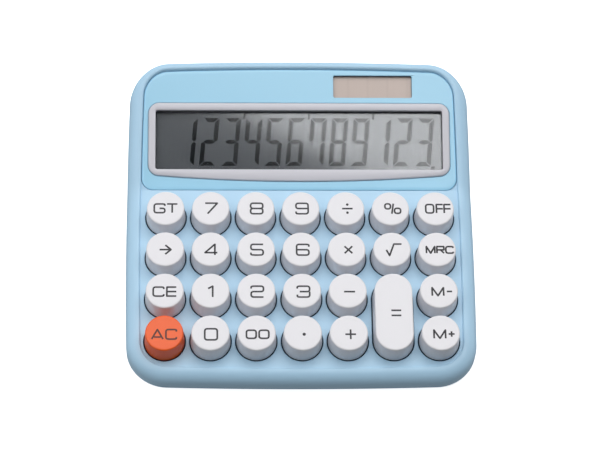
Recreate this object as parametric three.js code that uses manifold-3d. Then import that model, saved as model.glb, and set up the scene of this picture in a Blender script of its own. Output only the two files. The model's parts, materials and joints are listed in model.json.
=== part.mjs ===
// Desk calculator: a sloping deck of round keys, and behind it a steeper display with a solar cell.
// Millimetres. +X is to the user's right, +Y away from the user and +Z up.
// The origin is on the desk, at the centre of the footprint.
import * as THREE from "three";
import { mergeVertices } from "three/addons/utils/BufferGeometryUtils.js";
import Module from "manifold-3d";

const wasm = await Module();
wasm.setup();

// ---- Driving dimensions ----------------------------------------------------------------------

const GAP = 0.3; // assembly clearance between neighbouring pieces

// Key caps and their holes
const KEY_BASE_RADIUS = 8.8;
const KEY_TOP_RADIUS = 8.3;
const KEY_EDGE = 0.6; // rounding of the top edge
const KEY_HOLE_GAP = 0.5; // running clearance around a cap
const KEY_WEB = 1.4; // plastic left between two neighbouring holes
const KEY_RISE = 9.9; // cap top above the deck
const KEY_SHELL = 1.2;
const KEY_POST_RADIUS = 2.2;
const KEY_FLANGE = 0.8;
const KEY_FLANGE_OVERLAP = 0.4; // how far the flange reaches past the hole
const KEY_TRAVEL = 2.2;

// Keypad: rows from the display to the user. The equals key covers the last two rows.
const KEYPAD = [
  ["gt", "7", "8", "9", "divide", "percent", "off"],
  ["arrow", "4", "5", "6", "multiply", "root", "mrc"],
  ["ce", "1", "2", "3", "subtract", null, "m_minus"],
  ["ac", "0", "double_zero", "point", "add", "equals", "m_plus"],
];
const DECK_SIDE_MARGIN = 2.2; // from the outermost hole to the rim
const DECK_FRONT_MARGIN = 3.6;
const DECK_REAR_MARGIN = 4.5; // from the first row's holes to the fold

// Case
const DECK_TILT = THREE.MathUtils.degToRad(4);
const DISPLAY_TILT = THREE.MathUtils.degToRad(19);
const RIM_SIDE = 6.2;
const RIM_FRONT = 6;
const RIM_REAR = 4.2;
const RIM_LIP = 1.2; // rim above the deck
const RIM_FILLET = 5.5;
const RIM_LAND = 0.8; // flat strip along the rim's inner edge
const INNER_CORNER = 11;
const OUTER_CORNER = 17.5;
const EDGE_BOW = 1.4; // how much each edge swells towards its middle
const WALL = 2;
const DECK_WALL = 1.8;
const FLOOR = 1.8;
const PARTING = 6; // height of the joint between the two case halves
const BOTTOM_FILLET = 4;
const TONGUE = 1.2; // lip of the lower half inside the upper half
const TONGUE_RISE = 2;
const FLOOR_CLEARANCE = 0.3;

// Display
const PANEL = 1.6;
const PANEL_FOOT_CORNER = 5.5;
const SILL_REACH = 3; // how far the sill under the panel's foot runs ahead of the fold
const WINDOW_WIDTH = 130;
const WINDOW_HEIGHT = 27.4;
const WINDOW_CORNER = 1;
const BEZEL_SIDE = 3.3;
const BEZEL_TOP = 3.5;
const BEZEL_FOOT = 3.2; // foot of the frame at its ends
const BEZEL_BELLY = 2.5; // how much deeper the foot is in the middle
const BEZEL_CORNER = 5;
const BEZEL_RISE = 0.9;
const BEZEL_SEAT = 0.5; // depth of the seat that it lies in
const BEZEL_NECK = 1.7; // wall of the neck that goes through the panel
const BEZEL_MARGIN = 3.9; // from the fold to the frame
const LENS = 0.8;
const LCD_BORDER = 1.3; // glass beyond the neck
const LCD_THICK = 2.8;
const SOLAR_WIDTH = 35.8;
const SOLAR_HEIGHT = 10.3;
const SOLAR_X = 33.5;
const SOLAR_SPACE = 2.7; // between the display frame and the solar opening
const SOLAR_BORDER = 1.5;
const SOLAR_THICK = 1.1;
const SOLAR_FLOOR = 0.6;
const PANEL_TOP_MARGIN = 3;
const HOLDER = 1.2;
const HOLDER_BORDER = 3.6; // plate beyond the display glass

// Electronics
const MAT = 0.8;
const DOME_RADIUS = 4.6;
const DOME_TOP_RADIUS = 2.6;
const DOME_WALL = 0.7;
const BOARD = 1.2;
const BOARD_BORDER = 7.9; // board beyond the outermost key centres
const STAKE_PIN_RADIUS = 1.2;
const STAKE_HEAD_RADIUS = 2;
const STAKE_HEAD = 0.8;
const CHIP_RADIUS = 8;
const CHIP_HEIGHT = 1.6;
const RIBBON_WIDTH = 44;
const RIBBON_THICK = 0.25;
const LEAD_RADIUS = 0.6;
const LEAD_HOLE_RADIUS = 1.5;
const CELL_RADIUS = 5.8;
const CELL_HEIGHT = 3.1;
const CELL_X = -46;
const CELL_SETBACK = 38; // cell centre from the rear edge
const CONTACT = 0.3;
const CONTACT_WIDTH = 6;

// Battery door, screws and feet
const DOOR = 1.8;
const DOOR_LENGTH = 30;
const DOOR_WIDTH = 17.4;
const DOOR_SCREW_X = 11; // from the door's centre
const COMPARTMENT_X = -3; // from the door's centre
const COMPARTMENT_LENGTH = 17;
const COMPARTMENT_WIDTH = 14;
const COMPARTMENT_WALL = 1.5;
const SCREW_RADIUS = 1.25;
const SCREW_HEAD_RADIUS = 2.5;
const SCREW_HEAD = 1.5;
const SCREW_SINK = 0.6; // head below the bottom face
const SCREW_SEAT = 1.2; // plastic that the head clamps
const BOSS_RADIUS = 2.8;
const POST_STEP = 1; // middle and rear posts, off the fold and off the middle of the solar cell
const DOOR_SCREW_RADIUS = 1;
const DOOR_SCREW_HEAD_RADIUS = 1.9;
const DOOR_SCREW_HEAD = 0.8;
const DOOR_SCREW_SINK = 0.1;
const DOOR_SCREW_LENGTH = 5;
const FOOT_RADIUS = 5;
const FOOT_HEIGHT = 1; // case bottom above the desk
const FOOT_INSERT = 0.6;
const FOOT_INSET_X = 15.7;
const FOOT_INSET_FRONT = 19;
const FOOT_INSET_REAR = 22;

// ---- Worked-out dimensions -------------------------------------------------------------------

const columns = KEYPAD[0].length;
const rows = KEYPAD.length;
const holeRadius = KEY_BASE_RADIUS + KEY_HOLE_GAP;
const pitch = 2 * holeRadius + KEY_WEB;
const flangeRadius = holeRadius + KEY_FLANGE_OVERLAP;

// Depths below the deck surface
const flangeTop = DECK_WALL + GAP;
const keyFoot = flangeTop + KEY_FLANGE;
const domeTop = keyFoot + GAP;
const matTop = keyFoot + KEY_TRAVEL + GAP;
const matBottom = matTop + MAT;
const boardTop = matBottom + GAP;
const boardBottom = boardTop + BOARD;
const stakeEnd = boardBottom + GAP + STAKE_HEAD;

// Depths below the display surface
const panelSeat = PANEL + GAP;
const neckEnd = PANEL - GAP;
const lensTop = neckEnd + GAP;
const lcdTop = lensTop + LENS + GAP;
const lcdBottom = lcdTop + LCD_THICK;
const solarTop = panelSeat;
const solarSeat = solarTop + SOLAR_THICK + GAP;
const displayWall = solarSeat + SOLAR_FLOOR;
const holderTop = lcdBottom + GAP;
const holderBottom = holderTop + HOLDER;
const holderStakeEnd = holderBottom + GAP + STAKE_HEAD;

// Distances up the display from the fold
const windowLow = BEZEL_MARGIN + BEZEL_BELLY + BEZEL_FOOT;
const windowHigh = windowLow + WINDOW_HEIGHT;
const windowMiddle = (windowLow + windowHigh) / 2;
const solarLow = windowHigh + BEZEL_TOP + SOLAR_SPACE;
const solarMiddle = solarLow + SOLAR_HEIGHT / 2;
const neckWidth = WINDOW_WIDTH + 2 * BEZEL_NECK;
const neckHeight = WINDOW_HEIGHT + 2 * BEZEL_NECK;
const lcdWidth = neckWidth + 2 * LCD_BORDER;
const lcdHeight = neckHeight + 2 * LCD_BORDER;
const lcdLow = windowMiddle - lcdHeight / 2;
const displayLength = solarLow + SOLAR_HEIGHT + PANEL_TOP_MARGIN;

// Plan
const keypadHalf = ((columns - 1) / 2) * pitch + holeRadius + DECK_SIDE_MARGIN;
const bezelHalf = WINDOW_WIDTH / 2 + BEZEL_SIDE;
const innerHalf = Math.max(keypadHalf, bezelHalf + BEZEL_SIDE);
const outerHalf = innerHalf + RIM_SIDE;
const rowSpan = (rows - 1) * pitch;
const deckLength = DECK_FRONT_MARGIN + 2 * holeRadius + rowSpan + DECK_REAR_MARGIN;
const deckRun = deckLength * Math.cos(DECK_TILT);
const displayRun = displayLength * Math.cos(DISPLAY_TILT);
const rearEdge = (RIM_FRONT + deckRun + displayRun + RIM_REAR) / 2;
const foldY = RIM_FRONT + deckRun - rearEdge;

// Heights
const bottomFace = FOOT_HEIGHT;
const floorTop = bottomFace + FLOOR;
const deckFrontZ = floorTop + FLOOR_CLEARANCE + stakeEnd;
const foldZ = deckFrontZ + deckLength * Math.sin(DECK_TILT);
const skyZ = 200; // above everything

const gridFromFold = DECK_REAR_MARGIN + holeRadius + rowSpan / 2;
const deckFrame = new THREE.Matrix4()
  .makeRotationX(DECK_TILT)
  .setPosition(0, foldY - gridFromFold * Math.cos(DECK_TILT), foldZ - gridFromFold * Math.sin(DECK_TILT));
const displayFrame = new THREE.Matrix4().makeRotationX(DISPLAY_TILT).setPosition(0, foldY, foldZ);

// ---- Materials -------------------------------------------------------------------------------

const finish = (color, roughness, metalness = 0) =>
  new THREE.MeshStandardMaterial({ color, roughness, metalness });
const materials = {
  skyPlastic: finish("#a9d3ea", 0.42),
  keyPlastic: finish("#e9e6ec", 0.4),
  clearKey: finish("#f8713f", 0.38),
  bezel: finish("#c4c6d2", 0.35, 0.4),
  lens: finish("#b9c0c2", 0.08),
  lcd: finish("#7f8688", 0.25),
  solar: finish("#c2b1a8", 0.3),
  board: finish("#3f7a4c", 0.6),
  epoxy: finish("#16171a", 0.35),
  silicone: finish("#9da3a8", 0.75),
  ribbon: finish("#c98f3e", 0.45),
  steel: finish("#b9bcc0", 0.3, 1),
  rubber: finish("#3c3f44", 0.9),
  innerPlastic: finish("#d8dadc", 0.6),
  redLead: finish("#b3292c", 0.5),
  blackLead: finish("#1d1e20", 0.5),
};

// ---- Solids ----------------------------------------------------------------------------------

// A closed geometry as a solid that can be joined and cut.
function solid(geometry) {
  const bare = geometry.clone();
  bare.deleteAttribute("normal");
  bare.deleteAttribute("uv");
  const welded = mergeVertices(bare, 1e-4);
  return new wasm.Manifold(
    new wasm.Mesh({
      numProp: 3,
      vertProperties: welded.attributes.position.array,
      triVerts: new Uint32Array(welded.index.array),
    }),
  );
}

// A solid as a three.js geometry.
function geometryOf(body) {
  const { vertProperties, triVerts } = body.getMesh();
  const geometry = new THREE.BufferGeometry();
  geometry.setAttribute("position", new THREE.BufferAttribute(new Float32Array(vertProperties), 3));
  geometry.setIndex(new THREE.BufferAttribute(new Uint32Array(triVerts), 1));
  return geometry;
}

const cut = (body, ...tools) => tools.reduce((left, tool) => left.subtract(tool), body);
const join = (body, ...others) => others.reduce((whole, other) => whole.add(other), body);

// An outline standing up from one height to another.
function prism(points, low, high) {
  const shape = points instanceof THREE.Shape ? points : new THREE.Shape(points);
  const geometry = new THREE.ExtrudeGeometry(shape, {
    depth: high - low,
    bevelEnabled: false,
    curveSegments: 3,
  });
  return geometry.translate(0, 0, low);
}

function block(width, depth, low, high, x = 0, y = 0) {
  return new THREE.BoxGeometry(width, depth, high - low).translate(x, y, (low + high) / 2);
}

function rod(radius, low, high, x = 0, y = 0, sides = 8) {
  return new THREE.CylinderGeometry(radius, radius, high - low, sides)
    .rotateX(Math.PI / 2)
    .translate(x, y, (low + high) / 2);
}

// A turned piece standing on +Z, from profile points [radius, height] that start and end on the axis.
function turned(profile, sides = 10) {
  const points = profile.map(([radius, height]) => new THREE.Vector2(radius, height));
  return new THREE.LatheGeometry(points, sides).rotateX(Math.PI / 2);
}

// A rectangle with rounded corners, as a shape.
function roundedRectangle(width, height, radius, x = 0, y = 0) {
  const [left, right] = [x - width / 2, x + width / 2];
  const [low, high] = [y - height / 2, y + height / 2];
  const shape = new THREE.Shape();
  shape.moveTo(left + radius, low);
  shape.absarc(right - radius, low + radius, radius, -Math.PI / 2, 0);
  shape.absarc(right - radius, high - radius, radius, 0, Math.PI / 2);
  shape.absarc(left + radius, high - radius, radius, Math.PI / 2, Math.PI);
  shape.absarc(left + radius, low + radius, radius, Math.PI, 1.5 * Math.PI);
  shape.closePath();
  return shape;
}

const onDeck = (geometry) => geometry.applyMatrix4(deckFrame);
const onDisplay = (geometry) => geometry.applyMatrix4(displayFrame);
const deckSolid = (geometry) => solid(onDeck(geometry));
const displaySolid = (geometry) => solid(onDisplay(geometry));

// ---- Case outlines ---------------------------------------------------------------------------

const CORNER_STEPS = 5;

// Plan outline of the case, counter-clockwise: a rounded rectangle whose edges swell outwards.
// Each long edge has three more points, and those of the sides have one on the fold.
function outline({ half, front, rear, corner, inset = 0 }) {
  const halfX = half - inset;
  const low = front + inset;
  const high = rear - inset;
  const radius = corner - inset;
  const middle = (low + high) / 2;
  const halfY = (high - low) / 2;
  const straightX = halfX - radius;
  const fold = middle + (foldY - middle) / (1 - EDGE_BOW / halfY);
  const sideStops = [(low + radius + fold) / 2, fold, (high - radius + fold) / 2];
  const endStops = [-straightX / 2, 0, straightX / 2];
  const corners = [
    [straightX, low + radius, -Math.PI / 2, sideStops.map((y) => [halfX, y])],
    [straightX, high - radius, 0, endStops.map((x) => [-x, high])],
    [-straightX, high - radius, Math.PI / 2, sideStops.map((y) => [-halfX, y]).reverse()],
    [-straightX, low + radius, Math.PI, endStops.map((x) => [x, low])],
  ];
  const points = [];
  for (const [x, y, start, stops] of corners) {
    for (let step = 0; step <= CORNER_STEPS; step++) {
      const angle = start + (step / CORNER_STEPS) * (Math.PI / 2);
      points.push([x + radius * Math.cos(angle), y + radius * Math.sin(angle)]);
    }
    points.push(...stops);
  }
  return points.map(([x, y]) => {
    const swellX = 1 - (EDGE_BOW / halfX) * ((y - middle) / halfY) ** 2;
    const swellY = 1 - (EDGE_BOW / halfY) * (x / halfX) ** 2;
    return new THREE.Vector2(x * swellX, middle + (y - middle) * swellY);
  });
}

const outerOutline = (inset = 0) =>
  outline({ half: outerHalf, front: -rearEdge, rear: rearEdge, corner: OUTER_CORNER, inset });
const innerOutline = (inset = 0) =>
  outline({
    half: innerHalf,
    front: -rearEdge + RIM_FRONT,
    rear: rearEdge - RIM_REAR,
    corner: INNER_CORNER,
    inset,
  });

// Height of the deck or the display surface above the desk.
const surfaceZ = (y) => foldZ + (y - foldY) * Math.tan(y < foldY ? DECK_TILT : DISPLAY_TILT);

// Everything above both surfaces, each lowered by its own depth.
function aboveSurfaces(deckDepth, displayDepth) {
  const over = (depth) => block(4 * skyZ, 4 * skyZ, -depth, skyZ);
  return deckSolid(over(deckDepth)).intersect(displaySolid(over(displayDepth)));
}

// A closed skin through rings of equal length, from the lowest to the highest, with a fan at each end.
function loft(rings, lowCentre, highCentre) {
  const count = rings[0].length;
  const vertices = [...rings.flat(), lowCentre, highCentre];
  const lowIndex = vertices.length - 2;
  const highIndex = vertices.length - 1;
  const top = (rings.length - 1) * count;
  const faces = [];
  for (let i = 0; i < count; i++) {
    const next = (i + 1) % count;
    faces.push(lowIndex, next, i, highIndex, top + i, top + next);
    for (let base = 0; base < top; base += count) {
      faces.push(base + i, base + next, base + count + next);
      faces.push(base + i, base + count + next, base + count + i);
    }
  }
  const geometry = new THREE.BufferGeometry().setFromPoints(vertices);
  geometry.setIndex(faces);
  return geometry;
}

const ring = (points, heightAt) => points.map((p) => new THREE.Vector3(p.x, p.y, heightAt(p)));

// ---- Screw, stake and foot places -------------------------------------------------------------

const caseScrews = [
  [2.5 * pitch, -rearEdge + EDGE_BOW / 2 + WALL + TONGUE + 2 * GAP + BOSS_RADIUS],
  [2.5 * pitch, foldY - POST_STEP],
  [outerHalf - FOOT_INSET_X, foldY + solarMiddle * Math.cos(DISPLAY_TILT) + POST_STEP],
].flatMap(([x, y]) => [
  [-x, y],
  [x, y],
]);
const screwHeadTop = bottomFace + SCREW_SINK + SCREW_HEAD;
const screwSeatTop = screwHeadTop + GAP + SCREW_SEAT;
const seatRadius = SCREW_HEAD_RADIUS + GAP + WALL / 2;
const screwTip = deckFrontZ - DECK_WALL - GAP;

// Board stakes stand where four holes meet, clear of the equals key. Units are key pitches.
const boardStakes = [
  [-2.5, 1],
  [0.5, 1],
  [2.5, 1],
  [-2.5, -1],
  [0.5, -1],
  [2.5, 0],
].map(([column, row]) => [column * pitch, row * pitch]);
const holderStakes = [-1.5, 1.5].flatMap((column) => [
  [column * pitch, windowMiddle - lcdHeight / 2 - HOLDER_BORDER / 2 - GAP],
  [column * pitch, windowMiddle + lcdHeight / 2 + HOLDER_BORDER / 2 + GAP],
]);
const feet = [-1, 1].flatMap((side) => [
  [side < 0 ? "left" : "right", "front", side * (outerHalf - FOOT_INSET_X), -rearEdge + FOOT_INSET_FRONT],
  [side < 0 ? "left" : "right", "rear", side * (outerHalf - FOOT_INSET_X), rearEdge - FOOT_INSET_REAR],
]);

// A heat-formed stake that hangs down: collar, pin and mushroom head, at depths below its surface.
function stake([x, y], root, seat, end) {
  return join(
    solid(rod(STAKE_HEAD_RADIUS, -seat, -root, x, y)),
    solid(rod(STAKE_PIN_RADIUS, -end, -root, x, y)),
    solid(rod(STAKE_HEAD_RADIUS, -end, -end + STAKE_HEAD, x, y)),
  );
}

// ---- Keys ------------------------------------------------------------------------------------

const KEY_SIDES = 14;

// A hollow cap with a flange around its foot and a post in its middle.
function keyCap() {
  const inside = KEY_BASE_RADIUS - KEY_SHELL;
  return turned(
    [
      [0, -keyFoot],
      [KEY_POST_RADIUS, -keyFoot],
      [KEY_POST_RADIUS, KEY_RISE - KEY_SHELL],
      [inside, KEY_RISE - KEY_SHELL],
      [inside, -keyFoot],
      [flangeRadius, -keyFoot],
      [flangeRadius, -flangeTop],
      [KEY_BASE_RADIUS, -flangeTop],
      [KEY_TOP_RADIUS, KEY_RISE - KEY_EDGE],
      [KEY_TOP_RADIUS - KEY_EDGE, KEY_RISE],
      [0, KEY_RISE],
    ],
    KEY_SIDES,
  ).rotateZ(Math.PI / KEY_SIDES);
}

// The same cap drawn apart along Y into a two-row key.
function longCap() {
  const geometry = keyCap();
  const position = geometry.getAttribute("position");
  const axis = 1e-6;
  for (let i = 0; i < position.count; i++) {
    const y = position.getY(i);
    if (Math.abs(y) > axis) position.setY(i, y + (Math.sign(y) * pitch) / 2);
  }
  return geometry;
}

const columnX = (column) => (column - (columns - 1) / 2) * pitch;
const rowY = (row) => ((rows - 1) / 2 - row) * pitch;
const equalsColumn = KEYPAD[rows - 1].indexOf("equals");

// ---- Upper case ------------------------------------------------------------------------------

function topCaseSolid() {
  const crest = innerOutline(-RIM_LAND);
  const outer = outerOutline();
  const rings = [ring(outer, () => PARTING)];
  const FILLET_STEPS = 5;
  for (let step = 0; step <= FILLET_STEPS; step++) {
    const angle = (step / FILLET_STEPS) * (Math.PI / 2);
    const points = outer.map((p, i) => p.clone().lerp(crest[i], 1 - Math.cos(angle)));
    const drop = RIM_FILLET * (1 - Math.sin(angle));
    rings.push(ring(points, (p) => surfaceZ(p.y) + RIM_LIP - drop));
  }
  rings.push(ring(innerOutline(RIM_LAND), (p) => surfaceZ(p.y) + RIM_LIP));
  const body = solid(loft(rings, new THREE.Vector3(0, 0, PARTING), new THREE.Vector3(0, 0, skyZ)));

  const pocket = solid(prism(innerOutline(), 0, 2 * skyZ)).intersect(aboveSurfaces(0, 0));
  const cavity = cut(
    solid(prism(outerOutline(WALL), 0, skyZ)),
    aboveSurfaces(DECK_WALL, displayWall),
  );
  let shell = cut(body, pocket, cavity);

  // A sill thickens the wall under the panel's foot, where the two slopes meet.
  const sillDepth = lcdLow - GAP + SILL_REACH;
  const sillMiddle = sillDepth / 2 - SILL_REACH;
  const sill = block(2 * outerHalf, sillDepth, -displayWall, -DECK_WALL / 3, 0, sillMiddle);
  shell = join(shell, displaySolid(sill).intersect(solid(prism(outerOutline(WALL / 2), 0, skyZ))));

  // Posts for the case screws reach up into the top wall.
  const posts = caseScrews.map(([x, y]) => solid(rod(BOSS_RADIUS, screwSeatTop + GAP, skyZ / 2, x, y, 12)));
  const ceiling = aboveSurfaces(DECK_WALL / 2, (panelSeat + displayWall) / 2);
  shell = join(shell, ...posts.map((post) => post.subtract(ceiling)));
  shell = cut(shell, panelSolid(0, -RIM_LIP * 4, panelSeat));
  const bores = caseScrews.map(([x, y]) => solid(rod(SCREW_RADIUS + GAP, 0, screwTip + GAP, x, y)));

  const holes = [];
  for (let row = 0; row < rows; row++) {
    for (let column = 0; column < columns; column++) {
      const hole = rod(holeRadius, -DECK_WALL - 1, RIM_LIP, columnX(column), rowY(row), 16);
      holes.push(deckSolid(hole));
    }
  }
  const slotY = (rowY(rows - 1) + rowY(rows - 2)) / 2;
  const slot = block(2 * holeRadius, pitch, -DECK_WALL - 1, RIM_LIP, columnX(equalsColumn), slotY);
  const lcdHole = roundedRectangle(lcdWidth + 2 * GAP, lcdHeight + 2 * GAP, WINDOW_CORNER, 0, windowMiddle);
  const cellWidth = SOLAR_WIDTH + 2 * (SOLAR_BORDER + GAP);
  const cellHeight = SOLAR_HEIGHT + 2 * (SOLAR_BORDER + GAP);
  const solarPocket = block(cellWidth, cellHeight, -solarSeat, 1, SOLAR_X, solarMiddle);
  shell = cut(
    shell,
    ...bores,
    ...holes,
    deckSolid(slot),
    displaySolid(prism(lcdHole, -displayWall - 1, 1)),
    displaySolid(solarPocket),
    ...solarLeadXs.map((x) => displaySolid(rod(LEAD_HOLE_RADIUS, -displayWall - 1, 0, x, solarMiddle))),
  );

  const hang = (root) => root - GAP;
  const stakes = [
    ...boardStakes.map((place) => stake(place, hang(DECK_WALL), matTop - GAP, stakeEnd).transform(deckFrame.elements)),
    ...holderStakes.map((place) =>
      stake(place, hang(displayWall), holderTop - GAP, holderStakeEnd).transform(displayFrame.elements),
    ),
  ];
  return join(shell, ...stakes);
}

// ---- Display ---------------------------------------------------------------------------------

// The display panel's outline, grown by a clearance, between two depths below the display surface.
function panelSolid(shrink, top, bottom) {
  const foot = roundedRectangle(
    2 * (innerHalf - shrink),
    4 * displayLength,
    PANEL_FOOT_CORNER,
    0,
    2 * displayLength + shrink,
  );
  const slab = displaySolid(prism(foot, -bottom, -top));
  return slab.intersect(solid(prism(innerOutline(shrink), 0, 2 * skyZ)));
}

// The display frame's outline: its foot hangs in a shallow curve. Grown by a clearance.
function bezelShape(grow = 0) {
  const side = bezelHalf + grow;
  const high = windowHigh + BEZEL_TOP + grow;
  const low = windowLow - BEZEL_FOOT - grow;
  const corner = BEZEL_CORNER + grow;
  const shape = new THREE.Shape();
  shape.moveTo(-side + corner, low);
  shape.quadraticCurveTo(0, low - 2 * BEZEL_BELLY, side - corner, low);
  shape.absarc(side - corner, low + corner, corner, -Math.PI / 2, 0);
  shape.absarc(side - corner, high - corner, corner, 0, Math.PI / 2);
  shape.absarc(-side + corner, high - corner, corner, Math.PI / 2, Math.PI);
  shape.absarc(-side + corner, low + corner, corner, Math.PI, 1.5 * Math.PI);
  return shape;
}

const windowShape = () => roundedRectangle(WINDOW_WIDTH, WINDOW_HEIGHT, WINDOW_CORNER, 0, windowMiddle);
const neckShape = (grow = 0) =>
  roundedRectangle(neckWidth + 2 * grow, neckHeight + 2 * grow, WINDOW_CORNER, 0, windowMiddle);

function panelBody() {
  const solarHole = roundedRectangle(SOLAR_WIDTH, SOLAR_HEIGHT, WINDOW_CORNER, SOLAR_X, solarMiddle);
  return cut(
    panelSolid(GAP, 0, PANEL),
    displaySolid(prism(bezelShape(GAP), -BEZEL_SEAT, 1)),
    displaySolid(prism(neckShape(GAP), -PANEL - 1, 1)),
    displaySolid(prism(solarHole, -PANEL - 1, 1)),
  );
}

function bezelBody() {
  const flange = solid(prism(bezelShape(), GAP - BEZEL_SEAT, BEZEL_RISE));
  const neck = solid(prism(neckShape(), -neckEnd, 0));
  return cut(join(flange, neck), solid(prism(windowShape(), -PANEL - 1, BEZEL_RISE + 1)));
}

function holderBody() {
  const width = lcdWidth + 2 * GAP;
  const height = lcdHeight + 2 * (HOLDER_BORDER + GAP);
  const plate = solid(prism(roundedRectangle(width, height, 2, 0, windowMiddle), -holderBottom, -holderTop));
  const slot = block(RIBBON_WIDTH + 4, ribbonSlot, -skyZ, 0, 0, lcdLow + ribbonSlot / 2);
  const holes = holderStakes.map(([x, s]) => solid(rod(STAKE_PIN_RADIUS + GAP, -skyZ, 0, x, s)));
  return cut(plate, solid(slot), ...holes);
}

// ---- Lower case ------------------------------------------------------------------------------

const cellY = rearEdge - CELL_SETBACK;
const doorX = CELL_X - COMPARTMENT_X;
const cellLow = bottomFace + DOOR + 3 * GAP;
const cellHigh = cellLow + CELL_HEIGHT;
const roofLow = cellHigh + CONTACT + 3 * GAP;
const blockTop = roofLow + COMPARTMENT_WALL;

function bottomCaseBody() {
  const rings = [];
  const FILLET_STEPS = 3;
  for (let step = 0; step <= FILLET_STEPS; step++) {
    const angle = (step / FILLET_STEPS) * (Math.PI / 2);
    const height = bottomFace + BOTTOM_FILLET * (1 - Math.cos(angle));
    rings.push(ring(outerOutline(BOTTOM_FILLET * (1 - Math.sin(angle))), () => height));
  }
  const top = PARTING - GAP;
  rings.push(ring(outerOutline(), () => top));
  const tray = solid(loft(rings, new THREE.Vector3(0, 0, bottomFace), new THREE.Vector3(0, 0, top)));
  const tongue = solid(prism(outerOutline(WALL + GAP), floorTop, PARTING + TONGUE_RISE));
  const hollow = solid(prism(outerOutline(WALL + GAP + TONGUE), floorTop, skyZ));
  const seats = caseScrews.map(([x, y]) => solid(rod(seatRadius, bottomFace, screwSeatTop, x, y, 12)));
  const bay = block(
    DOOR_LENGTH + 2 * (GAP + COMPARTMENT_WALL),
    DOOR_WIDTH + 2 * (GAP + COMPARTMENT_WALL),
    bottomFace,
    blockTop,
    doorX,
    cellY,
  );
  const recess = block(DOOR_LENGTH + 2 * GAP, DOOR_WIDTH + 2 * GAP, 0, bottomFace + DOOR + GAP, doorX, cellY);
  const chamber = block(COMPARTMENT_LENGTH, COMPARTMENT_WIDTH, 0, roofLow, CELL_X, cellY);
  const screwX = doorX + DOOR_SCREW_X;
  return cut(
    join(cut(join(tray, tongue), hollow), ...seats, solid(bay)),
    solid(recess),
    solid(chamber),
    solid(rod(DOOR_SCREW_RADIUS + GAP, 0, doorScrewTip + GAP, screwX, cellY)),
    ...cellLeadXs.map((x) => solid(rod(LEAD_HOLE_RADIUS, roofLow - 1, blockTop + 1, x, cellY))),
    ...caseScrews.map(([x, y]) => solid(rod(SCREW_RADIUS + GAP, 0, skyZ, x, y))),
    ...caseScrews.map(([x, y]) => solid(rod(SCREW_HEAD_RADIUS + GAP, 0, screwHeadTop + GAP, x, y))),
    ...feet.map(([, , x, y]) => solid(rod(FOOT_RADIUS + GAP, 0, bottomFace + FOOT_INSERT + GAP, x, y, 14))),
  );
}

// ---- Battery door ----------------------------------------------------------------------------

const doorScrewHeadTop = bottomFace + DOOR_SCREW_SINK + DOOR_SCREW_HEAD;
const doorScrewTip = doorScrewHeadTop + DOOR_SCREW_LENGTH;

function doorBody() {
  const plate = prism(roundedRectangle(DOOR_LENGTH, DOOR_WIDTH, 1, doorX, cellY), bottomFace, bottomFace + DOOR);
  const screwX = doorX + DOOR_SCREW_X;
  return cut(
    solid(plate),
    solid(rod(DOOR_SCREW_RADIUS + GAP, 0, skyZ, screwX, cellY)),
    solid(rod(DOOR_SCREW_HEAD_RADIUS + GAP, 0, doorScrewHeadTop + GAP, screwX, cellY)),
  );
}

// ---- Electronics -----------------------------------------------------------------------------

const ribbonSlot = 6;
const boardHalfX = ((columns - 1) / 2) * pitch + BOARD_BORDER;
const boardHalfY = rowSpan / 2 + BOARD_BORDER;
const solarLeadXs = [SOLAR_X - SOLAR_WIDTH / 4, SOLAR_X + SOLAR_WIDTH / 4];
const cellLeadXs = [CELL_X, CELL_X + CELL_RADIUS + GAP + CONTACT / 2];

function sheetWithHoles(top, bottom) {
  const sheet = solid(prism(roundedRectangle(2 * boardHalfX, 2 * boardHalfY, 2), -bottom, -top));
  return cut(sheet, ...boardStakes.map(([x, y]) => solid(rod(STAKE_PIN_RADIUS + GAP, -skyZ, 0, x, y))));
}

// A rubber sheet with a hollow dome under every key, open towards the board.
function matBody() {
  let mat = sheetWithHoles(matTop, matBottom);
  const dome = (grow, low, high) =>
    turned(
      [
        [0, low],
        [DOME_RADIUS - grow, low],
        [DOME_TOP_RADIUS - grow / 2, high],
        [0, high],
      ],
      8,
    );
  for (let row = 0; row < rows; row++) {
    for (let column = 0; column < columns; column++) {
      const place = [columnX(column), rowY(row), 0];
      mat = mat.add(solid(dome(0, -matBottom, -domeTop).translate(...place)));
      mat = mat.subtract(solid(dome(DOME_WALL, -matBottom - GAP, -domeTop - DOME_WALL).translate(...place)));
    }
  }
  return mat;
}

const inDisplay = (x, s, n) => new THREE.Vector3(x, s, n).applyMatrix4(displayFrame);
const inDeck = (x, y, n) => new THREE.Vector3(x, y, n).applyMatrix4(deckFrame);

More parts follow.
